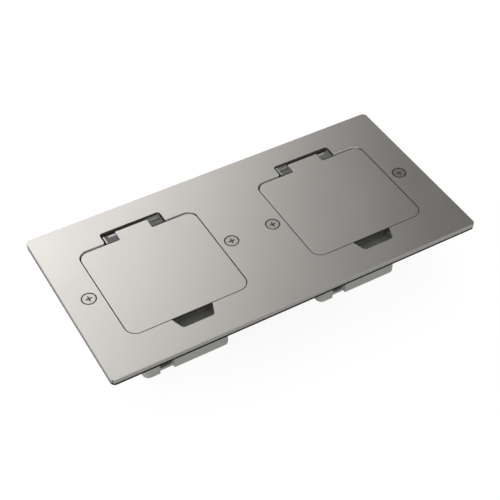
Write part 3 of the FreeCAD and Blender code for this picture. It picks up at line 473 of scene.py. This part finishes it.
def paintedHighlightShare(tree, spot, finish):
    # 1 where a highlight is painted as bright bare zinc: the highest rims, but not at the right-hand end of a
    # module, and the wall behind the pin
    share = addNode(tree, "ShaderNodeMath", (spot["X"], 2 * layout["module"]), operation="DIVIDE")
    share = addNode(tree, "ShaderNodeMath", (share,), operation="FRACT")
    leftOf = addNode(tree, "ShaderNodeMath", (share, finish["highlightUpTo"]), operation="LESS_THAN")
    high = addNode(tree, "ShaderNodeMapRange", {"Value": spot["Z"], **finish["highlightFrom"]},
                   interpolation_type="SMOOTHSTEP")
    rims = addNode(tree, "ShaderNodeMath", (high, leftOf), operation="MULTIPLY")
    byPin = addNode(tree, "ShaderNodeMath", (spot["Y"], finish["slotY"], finish["slotReach"]),
                    operation="COMPARE")
    above = addNode(tree, "ShaderNodeMath", (spot["Z"], finish["slotFoot"]), operation="GREATER_THAN")
    wall = addNode(tree, "ShaderNodeMath", (levelShare(tree), finish["upright"]), operation="LESS_THAN")
    slot = addNode(tree, "ShaderNodeMath", (byPin, above), operation="MULTIPLY")
    slot = addNode(tree, "ShaderNodeMath", (slot, wall), operation="MULTIPLY")
    return addNode(tree, "ShaderNodeMath", (rims, slot), operation="MAXIMUM")


def makeCoatedCasting(finish):
    # Zinc pressure die casting with a matt grey powder coat: fine orange peel, soft dull highlight.
    # Round the hinge the coat is painted darker as painted shade, and on the high rims and the wall behind
    # the pin bright bare zinc is painted as a highlight.
    material, tree = startMaterial("powderCoatedZinc")
    place = addNode(tree, "ShaderNodeTexCoord").outputs["Object"]
    spot = addNode(tree, "ShaderNodeSeparateXYZ", (place,)).outputs
    peel = addNode(tree, "ShaderNodeTexNoise", {"Vector": place, "Scale": 1 / finish["peel"], "Detail": 3.0})
    speck = addNode(tree, "ShaderNodeTexVoronoi", {"Vector": place, "Scale": 1 / finish["speck"]})
    flow = addNode(tree, "ShaderNodeTexNoise", {"Vector": place, "Scale": 1 / finish["flow"], "Detail": 3.0})
    hingeShade = addNode(tree, "ShaderNodeMapRange", {"Value": spot["Y"], **finish["hingeShadeFrom"]},
                    interpolation_type="SMOOTHSTEP")
    paintedHighlight = paintedHighlightShare(tree, spot, finish)
    clean = addNode(tree, "ShaderNodeMix", {"Factor": flow, "A": finish["dark"], "B": finish["light"]},
                    data_type="RGBA")
    hingeShadeTone = addNode(tree, "ShaderNodeMix", {"Factor": flow, "A": finish["hingeShadeDark"], "B": finish["hingeShadeLight"]},
                  data_type="RGBA")
    coat = addNode(tree, "ShaderNodeMix", {"Factor": hingeShade, "A": clean, "B": hingeShadeTone}, data_type="RGBA")
    tone = addNode(tree, "ShaderNodeMix", {"Factor": paintedHighlight, "A": coat, "B": finish["zinc"]},
                   data_type="RGBA")
    dull = addNode(tree, "ShaderNodeMapRange", {"Value": speck, **finish["coatRoughness"]})
    roughness = addNode(tree, "ShaderNodeMix", {"Factor": paintedHighlight, "A": dull, "B": finish["zincRoughness"]})
    metallic = addNode(tree, "ShaderNodeMath", (paintedHighlight, finish["zincMetallic"]), operation="MULTIPLY")
    bump = addNode(tree, "ShaderNodeBump",
                   {"Height": peel, "Strength": finish["peelStrength"], "Distance": finish["peelDepth"]})
    finishMaterial(tree, {
        "Base Color": tone,
        "Metallic": metallic,
        "Roughness": roughness,
        "IOR": finish["refraction"],
        "Normal": bump,
    })
    return material


# Moulded plastics of the body shells, socket faces, bases and shutters

moulding = {
    "drift": 25 * mm,               # size of the slightly lighter and darker areas
    "grainDepth": 0.05 * mm,
    "refraction": 1.5,
}
plastics = {
    "grey_shell": dict(
        moulding, name="greyPolycarbonate", dark="#C2C4BF", light="#CACDC7",
        roughness={"To Min": 0.47, "To Max": 0.63}, grain=0.35 * mm, grainStrength=0.25,
        # the inside tone is painted shade within the hollow
        inside="#A0A29D", insideHalf=26.55 * mm, insideFloor=-48.6 * mm,
    ),
    "socket_plastic": dict(
        moulding, name="anthraciteThermoset", dark="#303133", light="#3A3B3D",
        roughness={"To Min": 0.34, "To Max": 0.50}, grain=0.25 * mm, grainStrength=0.15,
    ),
    "base_plastic": dict(
        moulding, name="ivoryUreaMoulding", dark="#C9C5B8", light="#D6D2C6",
        roughness={"To Min": 0.42, "To Max": 0.58}, grain=0.4 * mm, grainStrength=0.15,
    ),
    "shutter_plastic": dict(
        moulding, name="naturalAcetal", dark="#E3E2DC", light="#EDECE7",
        roughness={"To Min": 0.27, "To Max": 0.43}, grain=0.5 * mm, grainStrength=0.08,
    ),
}


def insideShare(tree, place, finish):
    # 1 within the hollow of a body shell, where shade is painted
    spot = addNode(tree, "ShaderNodeSeparateXYZ", (place,)).outputs
    away = addNode(tree, "ShaderNodeMath", (spot["X"],), operation="ABSOLUTE")
    across = addNode(tree, "ShaderNodeMath", (away, layout["module"], finish["insideHalf"]),
                     operation="COMPARE")
    along = addNode(tree, "ShaderNodeMath", (spot["Y"], 0.0, finish["insideHalf"]), operation="COMPARE")
    above = addNode(tree, "ShaderNodeMath", (spot["Z"], finish["insideFloor"]), operation="GREATER_THAN")
    both = addNode(tree, "ShaderNodeMath", (across, along), operation="MULTIPLY")
    return addNode(tree, "ShaderNodeMath", (both, above), operation="MULTIPLY")


def makePlastic(finish):
    # Injection moulded plastic with a spark-eroded grain: soft broad highlight, even colour.
    # A hollow body is painted darker inside as painted shade.
    material, tree = startMaterial(finish["name"])
    place = addNode(tree, "ShaderNodeTexCoord").outputs["Object"]
    erosion = addNode(tree, "ShaderNodeTexNoise",
                      {"Vector": place, "Scale": 1 / finish["grain"], "Detail": 4.0})
    drift = addNode(tree, "ShaderNodeTexNoise",
                    {"Vector": place, "Scale": 1 / finish["drift"], "Detail": 2.0})
    tone = addNode(tree, "ShaderNodeMix", {"Factor": drift, "A": finish["dark"], "B": finish["light"]},
                   data_type="RGBA")
    if "inside" in finish:
        insideShade = insideShare(tree, place, finish)
        tone = addNode(tree, "ShaderNodeMix", {"Factor": insideShade, "A": tone, "B": finish["inside"]},
                       data_type="RGBA")
    roughness = addNode(tree, "ShaderNodeMapRange", {"Value": erosion, **finish["roughness"]})
    bump = addNode(tree, "ShaderNodeBump", {"Height": erosion, "Strength": finish["grainStrength"],
                                            "Distance": finish["grainDepth"]})
    finishMaterial(tree, {"Base Color": tone, "Roughness": roughness, "IOR": finish["refraction"],
                          "Normal": bump})
    return material


# Brass strip of the contacts

brassStrip = {
    "dark": "#C9A458",
    "light": "#DDBD74",
    "tarnish": 5 * mm,
    "rollingLength": 8 * mm,
    "rollingWidth": 0.35 * mm,
    "rollingDepth": 0.02 * mm,
    "rollingStrength": 0.12,
    "roughness": {"To Min": 0.22, "To Max": 0.38},
}


def makeBrass(finish):
    # Half-hard brass strip, rolled and stamped: warm yellow metal with faint rolling lines
    material, tree = startMaterial("rolledBrassStrip")
    place = addNode(tree, "ShaderNodeTexCoord").outputs["Object"]
    along, across = 1 / finish["rollingLength"], 1 / finish["rollingWidth"]
    rolled = addNode(tree, "ShaderNodeMapping", {"Vector": place, "Scale": (along, across, across)})
    lines = addNode(tree, "ShaderNodeTexNoise", {"Vector": rolled, "Scale": 1.0, "Detail": 3.0})
    tarnish = addNode(tree, "ShaderNodeTexNoise",
                      {"Vector": place, "Scale": 1 / finish["tarnish"], "Detail": 4.0})
    tone = addNode(tree, "ShaderNodeMix", {"Factor": tarnish, "A": finish["dark"], "B": finish["light"]},
                   data_type="RGBA")
    roughness = addNode(tree, "ShaderNodeMapRange", {"Value": lines, **finish["roughness"]})
    bump = addNode(tree, "ShaderNodeBump",
                   {"Height": lines, "Strength": finish["rollingStrength"],
                    "Distance": finish["rollingDepth"]})
    finishMaterial(tree, {"Base Color": tone, "Metallic": 1.0, "Roughness": roughness, "Normal": bump})
    return material


# Spring wire of the shutter springs and hinge pins

springSteel = {
    "dark": "#B4B4B4",
    "light": "#CACAC8",
    "drawnLength": 5 * mm,
    "drawnWidth": 0.2 * mm,
    "drawnDepth": 0.01 * mm,
    "drawnStrength": 0.1,
    "roughness": {"To Min": 0.18, "To Max": 0.30},
}


def makeSpringWire(finish):
    # Drawn stainless spring wire and ground pin stock: bright, with drawing lines along it
    material, tree = startMaterial("drawnSpringSteel")
    place = addNode(tree, "ShaderNodeTexCoord").outputs["Object"]
    along, across = 1 / finish["drawnLength"], 1 / finish["drawnWidth"]
    drawn = addNode(tree, "ShaderNodeMapping", {"Vector": place, "Scale": (along, across, across)})
    lines = addNode(tree, "ShaderNodeTexNoise", {"Vector": drawn, "Scale": 1.0, "Detail": 2.0})
    tone = addNode(tree, "ShaderNodeMix", {"Factor": lines, "A": finish["dark"], "B": finish["light"]},
                   data_type="RGBA")
    roughness = addNode(tree, "ShaderNodeMapRange", {"Value": lines, **finish["roughness"]})
    bump = addNode(tree, "ShaderNodeBump",
                   {"Height": lines, "Strength": finish["drawnStrength"], "Distance": finish["drawnDepth"]})
    finishMaterial(tree, {"Base Color": tone, "Metallic": 1.0, "Roughness": roughness, "Normal": bump})
    return material


# Each CAD node gets the material of its slot, and the lids get their own sheet

materials = {
    "satin_steel": makeStainless("brushedStainless304", plateSheet),
    "black_rubber": makeRubber(rubber),
    "screw_steel": makeScrewSteel(tumbledScrew),
    "cast_alloy": makeCoatedCasting(zincCasting),
    "contact_brass": makeBrass(brassStrip),
    "spring_steel": makeSpringWire(springSteel),
}
for slot, finish in plastics.items():
    materials[slot] = makePlastic(finish)
lidSteel = makeStainless("brushedStainlessLid304", lidSheet)


def dressNodes():
    for part in frame["record"]["subparts"]:
        dress(part["node"], materials[part["material_slot"]])
    for side in sides:
        dress(side + "_lid_panel", lidSteel)


# Screws, studs and springs grow from one point each, by a node tree with named sizes

smoothUpTo = math.radians(30)       # edges that bend more than this stay crisp
weldDistance = 0.001 * mm           # points of a seam or pole nearer than this are joined
threadFlank = {"From Min": 0.06, "From Max": 0.40}      # share of the pitch, from the root to the crest
crossFlare = 1.6                    # widening of the cross recess at the top of its tool


def startTree(name, numbers, counts):
    tree = bpy.data.node_groups.new(name, "GeometryNodeTree")
    tree.interface.new_socket("Geometry", in_out="INPUT", socket_type="NodeSocketGeometry")
    for title in numbers:
        tree.interface.new_socket(title, in_out="INPUT", socket_type="NodeSocketFloat")
    for title in counts:
        tree.interface.new_socket(title, in_out="INPUT", socket_type="NodeSocketInt")
    tree.interface.new_socket("Material", in_out="INPUT", socket_type="NodeSocketMaterial")
    tree.interface.new_socket("Geometry", in_out="OUTPUT", socket_type="NodeSocketGeometry")
    return tree, addNode(tree, "NodeGroupInput").outputs


def placeCopies(tree, given, shape):
    # One copy on each point that comes in, made real, smooth where it bends little, with its material
    copies = addNode(tree, "GeometryNodeInstanceOnPoints", {"Points": given["Geometry"], "Instance": shape})
    real = addNode(tree, "GeometryNodeRealizeInstances", (copies,))
    rounded = addNode(tree, "GeometryNodeSetShadeSmooth", (real,), domain="FACE")
    bend = addNode(tree, "GeometryNodeInputMeshEdgeAngle")
    soft = addNode(tree, "FunctionNodeCompare", (bend, smoothUpTo), data_type="FLOAT", operation="LESS_EQUAL")
    smooth = addNode(tree, "GeometryNodeSetShadeSmooth", {0: rounded, "Shade Smooth": soft}, domain="EDGE")
    painted = addNode(tree, "GeometryNodeSetMaterial", {0: smooth, "Material": given["Material"]})
    addNode(tree, "NodeGroupOutput", {"Geometry": painted})


def threadRadius(tree, given, depth, angle, start):
    # Radius of a right-hand thread at a depth and angle: crests and roots, a run-in and a tapered tip
    turned = addNode(tree, "ShaderNodeMath", (angle, 2 * math.pi), operation="DIVIDE")
    pitches = addNode(tree, "ShaderNodeMath", (depth, given["Pitch"]), operation="DIVIDE")
    turn = addNode(tree, "ShaderNodeMath", (pitches, turned), operation="ADD")
    ridge = addNode(tree, "ShaderNodeMath", (turn, 0.5), operation="PINGPONG")
    root = addNode(tree, "ShaderNodeMath", (given["Thread Radius"], given["Thread Depth"]),
                   operation="SUBTRACT")
    crest = addNode(tree, "ShaderNodeMapRange",
                    {"Value": ridge, "To Min": root, "To Max": given["Thread Radius"], **threadFlank})
    threaded = addNode(tree, "ShaderNodeMath", (depth, start), operation="SUBTRACT")
    runIn = addNode(tree, "ShaderNodeMath", (threaded, given["Pitch"]), operation="DIVIDE")
    full = addNode(tree, "ShaderNodeMapRange", {"Value": runIn, "To Min": root, "To Max": crest})
    tip = addNode(tree, "ShaderNodeMath", (given["Thread Radius"], given["Tip Taper"]), operation="SUBTRACT")
    toTip = addNode(tree, "ShaderNodeMath", (given["Length"], depth), operation="SUBTRACT")
    taper = addNode(tree, "ShaderNodeMath", (tip, toTip), operation="ADD")
    return addNode(tree, "ShaderNodeMath", (full, taper), operation="MINIMUM")


def turnProfile(tree, given, headRows, start):
    # A closed body of revolution: rows of head points, then thread rows, then the tip's middle.
    # The grid's columns stand round the axis and its rows run down it.
    firstRow = len(headRows)
    threaded = addNode(tree, "ShaderNodeMath", (given["Length"], start), operation="SUBTRACT")
    turns = addNode(tree, "ShaderNodeMath", (threaded, given["Pitch"]), operation="DIVIDE")
    threadRows = addNode(tree, "ShaderNodeMath", (turns, given["Rows Per Turn"]), operation="MULTIPLY")
    threadRows = addNode(tree, "ShaderNodeMath", (threadRows,), operation="ROUND")
    lastThreadRow = addNode(tree, "ShaderNodeMath", (threadRows, firstRow), operation="ADD")
    tipRow = addNode(tree, "ShaderNodeMath", (lastThreadRow, 1), operation="ADD")
    rows = addNode(tree, "ShaderNodeMath", (tipRow, 1), operation="ADD")
    columns = addNode(tree, "ShaderNodeMath", (given["Sides"], 1), operation="ADD")
    grid = addNode(tree, "GeometryNodeMeshGrid", {"Vertices X": columns, "Vertices Y": rows})
    index = addNode(tree, "GeometryNodeInputIndex")
    counted = addNode(tree, "ShaderNodeMath", (index, 0.5), operation="ADD")
    column = addNode(tree, "ShaderNodeMath", (counted, rows), operation="DIVIDE")
    column = addNode(tree, "ShaderNodeMath", (column,), operation="FLOOR")
    before = addNode(tree, "ShaderNodeMath", (column, rows), operation="MULTIPLY")
    row = addNode(tree, "ShaderNodeMath", (index, before), operation="SUBTRACT")
    angle = addNode(tree, "ShaderNodeMapRange",
                    {"Value": column, "From Max": given["Sides"], "To Max": 2 * math.pi})
    depth = addNode(tree, "ShaderNodeMapRange",
                    {"Value": row, "From Min": firstRow, "From Max": lastThreadRow,
                     "To Min": start, "To Max": given["Length"]})
    radius = threadRadius(tree, given, depth, angle, start)
    for place, (rowRadius, rowDepth) in [*enumerate(headRows), (tipRow, (0.0, given["Length"]))]:
        here = addNode(tree, "ShaderNodeMath", (row, place, 0.5), operation="COMPARE")
        radius = addNode(tree, "ShaderNodeMix", {"Factor": here, "A": radius, "B": rowRadius})
        depth = addNode(tree, "ShaderNodeMix", {"Factor": here, "A": depth, "B": rowDepth})
    drop = addNode(tree, "ShaderNodeMath", (depth, -1.0), operation="MULTIPLY")
    profile = addNode(tree, "ShaderNodeCombineXYZ", {"X": radius, "Z": drop})
    spot = addNode(tree, "ShaderNodeVectorRotate", {"Vector": profile, "Angle": angle},
                   rotation_type="Z_AXIS")
    turned = addNode(tree, "GeometryNodeSetPosition", {"Geometry": grid, "Position": spot})
    closed = addNode(tree, "GeometryNodeMergeByDistance", {"Geometry": turned, "Distance": weldDistance})
    return addNode(tree, "GeometryNodeFlipFaces", {"Mesh": closed})


def cutCrossRecess(tree, given, body):
    # Four tapered wings, cut into the head: two blocks across each other that are narrow at their foot
    height = addNode(tree, "ShaderNodeMath", (given["Cross Depth"], 2.0), operation="MULTIPLY")
    size = addNode(tree, "ShaderNodeCombineXYZ", (given["Cross Span"], given["Cross Width"], height))
    block = addNode(tree, "GeometryNodeMeshCube", {"Size": size})
    position = addNode(tree, "GeometryNodeInputPosition")
    corner = addNode(tree, "ShaderNodeSeparateXYZ", (position,)).outputs
    foot = addNode(tree, "ShaderNodeMath", (corner["Z"], 0.0), operation="LESS_THAN")
    footShare = addNode(tree, "ShaderNodeMath", (given["Cross Width"], given["Cross Span"]),
                        operation="DIVIDE")
    widening = addNode(tree, "ShaderNodeMapRange", {"Value": foot, "To Min": crossFlare, "To Max": footShare})
    across = addNode(tree, "ShaderNodeMath", (corner["X"], widening), operation="MULTIPLY")
    narrowed = addNode(tree, "ShaderNodeCombineXYZ", (across, corner["Y"], corner["Z"]))
    wing = addNode(tree, "GeometryNodeSetPosition", {"Geometry": block, "Position": narrowed})
    turns = [(0, 0, quarter * math.pi / 2) for quarter in (0, 1)]
    tools = [addNode(tree, "GeometryNodeTransform", {"Geometry": wing, "Rotation": turn}) for turn in turns]
    return addNode(tree, "GeometryNodeMeshBoolean", {"Mesh 1": body, "Mesh 2": tools},
                   operation="DIFFERENCE", solver="EXACT")


def makeScrewTree():
    tree, given = startTree(
        "crossHeadScrew",
        ("Head Radius", "Head Edge", "Head Land", "Neck Radius", "Neck Length", "Thread Radius",
         "Thread Depth", "Pitch", "Length", "Tip Taper", "Cross Span", "Cross Width", "Cross Depth"),
        ("Sides", "Rows Per Turn"),
    )
    face = addNode(tree, "ShaderNodeMath", (given["Head Radius"], given["Head Edge"]), operation="SUBTRACT")
    cone = addNode(tree, "ShaderNodeMath", (given["Head Radius"], given["Neck Radius"]), operation="SUBTRACT")
    coneFoot = addNode(tree, "ShaderNodeMath", (given["Head Land"], cone), operation="ADD")
    start = addNode(tree, "ShaderNodeMath", (coneFoot, given["Neck Length"]), operation="ADD")
    rows = (
        (0.0, 0.0),
        (face, 0.0),
        (given["Head Radius"], given["Head Edge"]),
        (given["Head Radius"], given["Head Land"]),
        (given["Neck Radius"], coneFoot),
    )
    placeCopies(tree, given, cutCrossRecess(tree, given, turnProfile(tree, given, rows, start)))
    return tree


def makeStudTree():
    tree, given = startTree(
        "threadedStud",
        ("Thread Radius", "Thread Depth", "Pitch", "Length", "Tip Taper", "Weld Length"),
        ("Sides", "Rows Per Turn"),
    )
    rows = ((0.0, 0.0), (given["Thread Radius"], 0.0), (given["Thread Radius"], given["Weld Length"]))
    placeCopies(tree, given, turnProfile(tree, given, rows, given["Weld Length"]))
    return tree


def springRise(tree, given, turn):
    # How far along the spring a turn lies: close wound, open in the middle, close wound again
    wire = addNode(tree, "ShaderNodeMath", (given["Wire Radius"], 2.0), operation="MULTIPLY")
    closed = addNode(tree, "ShaderNodeMath", (given["Closed Turns"], wire), operation="MULTIPLY")
    free = addNode(tree, "ShaderNodeMath", (given["Length"], wire), operation="SUBTRACT")
    free = addNode(tree, "ShaderNodeMath", (closed, -2.0, free), operation="MULTIPLY_ADD")
    lastClosed = addNode(tree, "ShaderNodeMath", (given["Turns"], given["Closed Turns"]),
                         operation="SUBTRACT")
    rise = given["Wire Radius"]
    for first, last, reach in (
        (0.0, given["Closed Turns"], closed),
        (given["Closed Turns"], lastClosed, free),
        (lastClosed, given["Turns"], closed),
    ):
        stretch = addNode(tree, "ShaderNodeMapRange",
                          {"Value": turn, "From Min": first, "From Max": last, "To Max": reach})
        rise = addNode(tree, "ShaderNodeMath", (rise, stretch), operation="ADD")
    return rise


def makeSpringTree():
    tree, given = startTree(
        "closedEndSpring",
        ("Coil Radius", "Wire Radius", "Turns", "Closed Turns", "Length"),
        ("Points Per Turn", "Wire Sides"),
    )
    points = addNode(tree, "ShaderNodeMath", (given["Turns"], given["Points Per Turn"], 1),
                     operation="MULTIPLY_ADD")
    line = addNode(tree, "GeometryNodeCurvePrimitiveLine")
    path = addNode(tree, "GeometryNodeResampleCurve", {"Curve": line, "Count": points})
    share = addNode(tree, "GeometryNodeSplineParameter").outputs["Factor"]
    turn = addNode(tree, "ShaderNodeMath", (share, given["Turns"]), operation="MULTIPLY")
    angle = addNode(tree, "ShaderNodeMath", (turn, -2 * math.pi), operation="MULTIPLY")
    rise = springRise(tree, given, turn)
    start = addNode(tree, "ShaderNodeCombineXYZ", {"X": given["Coil Radius"], "Y": rise})
    spot = addNode(tree, "ShaderNodeVectorRotate", {"Vector": start, "Angle": angle}, rotation_type="Y_AXIS")
    coil = addNode(tree, "GeometryNodeSetPosition", {"Geometry": path, "Position": spot})
    section = addNode(tree, "GeometryNodeCurvePrimitiveCircle",
                      {"Resolution": given["Wire Sides"], "Radius": given["Wire Radius"]})
    drawn = addNode(tree, "GeometryNodeCurveToMesh",
                    {"Curve": coil, "Profile Curve": section, "Fill Caps": True})
    placeCopies(tree, given, drawn)
    return tree


def grow(name, tree, sizes, places, material):
    # Runs the tree on its points and keeps the result as a plain mesh
    seed = bpy.data.meshes.new(name + "Seed")
    seed.from_pydata(places, [], [])
    piece = bpy.data.objects.new(name, seed)
    bpy.context.collection.objects.link(piece)
    modifier = piece.modifiers.new("build", "NODES")
    modifier.node_group = tree
    values = {**sizes, "Material": material}
    for item in tree.interface.items_tree:
        if item.in_out == "INPUT" and item.name in values:
            modifier[item.identifier] = values[item.name]
    depsgraph = bpy.context.evaluated_depsgraph_get()
    piece.data = bpy.data.meshes.new_from_object(piece.evaluated_get(depsgraph))
    piece.modifiers.remove(modifier)
    used = piece.data.materials
    while None in list(used):
        used.pop(index=list(used).index(None))
    return piece


# M4 countersunk screws that hold the plate

boxScrew = {
    "Head Radius": 4.1 * mm, "Head Edge": 0.3 * mm, "Head Land": 0.4 * mm, "Neck Radius": 1.75 * mm,
    "Neck Length": 1.5 * mm, "Thread Radius": 2.0 * mm, "Thread Depth": 0.38 * mm, "Pitch": 0.7 * mm,
    "Length": 20.0 * mm, "Tip Taper": 0.5 * mm, "Cross Span": 4.6 * mm, "Cross Width": 0.95 * mm,
    "Cross Depth": 1.8 * mm, "Sides": 40, "Rows Per Turn": 8,
}


def addBoxScrews(tree):
    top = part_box("box_screws")[1][2]
    places = [(moduleX[side] + way * layout["boxScrew"], 0, top) for side in sides for way in (-1, 1)]
    screws = grow("plateFixingScrews", tree, boxScrew, places, materials["screw_steel"])
    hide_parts("box_screws")
    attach(screws, "housing")


# M3 countersunk screws of the tray and of the socket face

moduleScrew = {
    "Head Radius": 2.75 * mm, "Head Edge": 0.1 * mm, "Head Land": 0.2 * mm, "Neck Radius": 1.25 * mm,
    "Neck Length": 1.7 * mm, "Thread Radius": 1.5 * mm, "Thread Depth": 0.27 * mm, "Pitch": 0.5 * mm,
    "Tip Taper": 0.375 * mm, "Cross Span": 3.0 * mm, "Cross Width": 0.65 * mm, "Cross Depth": 1.1 * mm,
    "Sides": 32, "Rows Per Turn": 8,
}
trayScrewPlaces = {"x": 30.5 * mm, "y": 20 * mm}


def addTrayScrews(tree, side):
    node = side + "_shell_screws"
    low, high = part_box(node)
    sizes = dict(moduleScrew, Length=high[2] - low[2])
    places = [(moduleX[side] + wayX * trayScrewPlaces["x"], wayY * trayScrewPlaces["y"], high[2])
              for wayX in (-1, 1) for wayY in (-1, 1)]
    screws = grow(side + "TrayScrews", tree, sizes, places, materials["screw_steel"])
    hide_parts(node)
    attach(screws, "housing")


def addCentreScrew(tree, side):
    node = side + "_face_screw"
    low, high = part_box(node)
    sizes = dict(moduleScrew, Length=high[2] - low[2])
    screw = grow(side + "CentreScrew", tree, sizes, [(moduleX[side], 0, high[2])], materials["screw_steel"])
    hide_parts(node)
    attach(screw, "housing")


# M3 studs welded under the plate

plateStud = {
    "Thread Radius": 1.5 * mm, "Thread Depth": 0.27 * mm, "Pitch": 0.5 * mm, "Length": 7.5 * mm,
    "Tip Taper": 0.3 * mm, "Weld Length": 0.6 * mm, "Sides": 28, "Rows Per Turn": 8,
}
plateStudX = 30 * mm                # from the module's middle


def addStuds(tree):
    low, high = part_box("plate_studs")
    rows = (low[1] + plateStud["Thread Radius"], high[1] - plateStud["Thread Radius"])
    places = [(moduleX[side] + way * plateStudX, y, high[2])
              for side in sides for way in (-1, 1) for y in rows]
    studs = grow("weldedStuds", tree, plateStud, places, materials["screw_steel"])
    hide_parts("plate_studs")
    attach(studs, "housing")


# Compression spring that closes a pin shutter

shutterSpring = {
    "Wire Radius": 0.22 * mm, "Turns": 7.0, "Closed Turns": 1.25, "Points Per Turn": 28, "Wire Sides": 10,
}


def addSpring(tree, side):
    node = side + "_shutter_spring"
    low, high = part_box(node)
    length = high[1] - low[1]
    sizes = {**shutterSpring, "Length": length}
    sizes["Coil Radius"] = (high[0] - low[0]) / 2 - shutterSpring["Wire Radius"]
    place = (moduleX[side], low[1], (low[2] + high[2]) / 2)
    spring = grow(side + "ReturnSpring", tree, sizes, [place], materials["spring_steel"])
    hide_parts(node)
    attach(spring, "housing")
    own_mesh(spring)


addCamera(camera)
addFloor(studio, cadBounds[0][2])
addSky(studio)
print("camera, floor and sky are in place")
dressNodes()
print("CAD nodes have their materials")
screwTree = makeScrewTree()
addBoxScrews(screwTree)
for side in sides:
    addTrayScrews(screwTree, side)
    addCentreScrew(screwTree, side)
addStuds(makeStudTree())
print("screws and studs are made")
springTree = makeSpringTree()
for side in sides:
    addSpring(springTree, side)
print("springs are made")
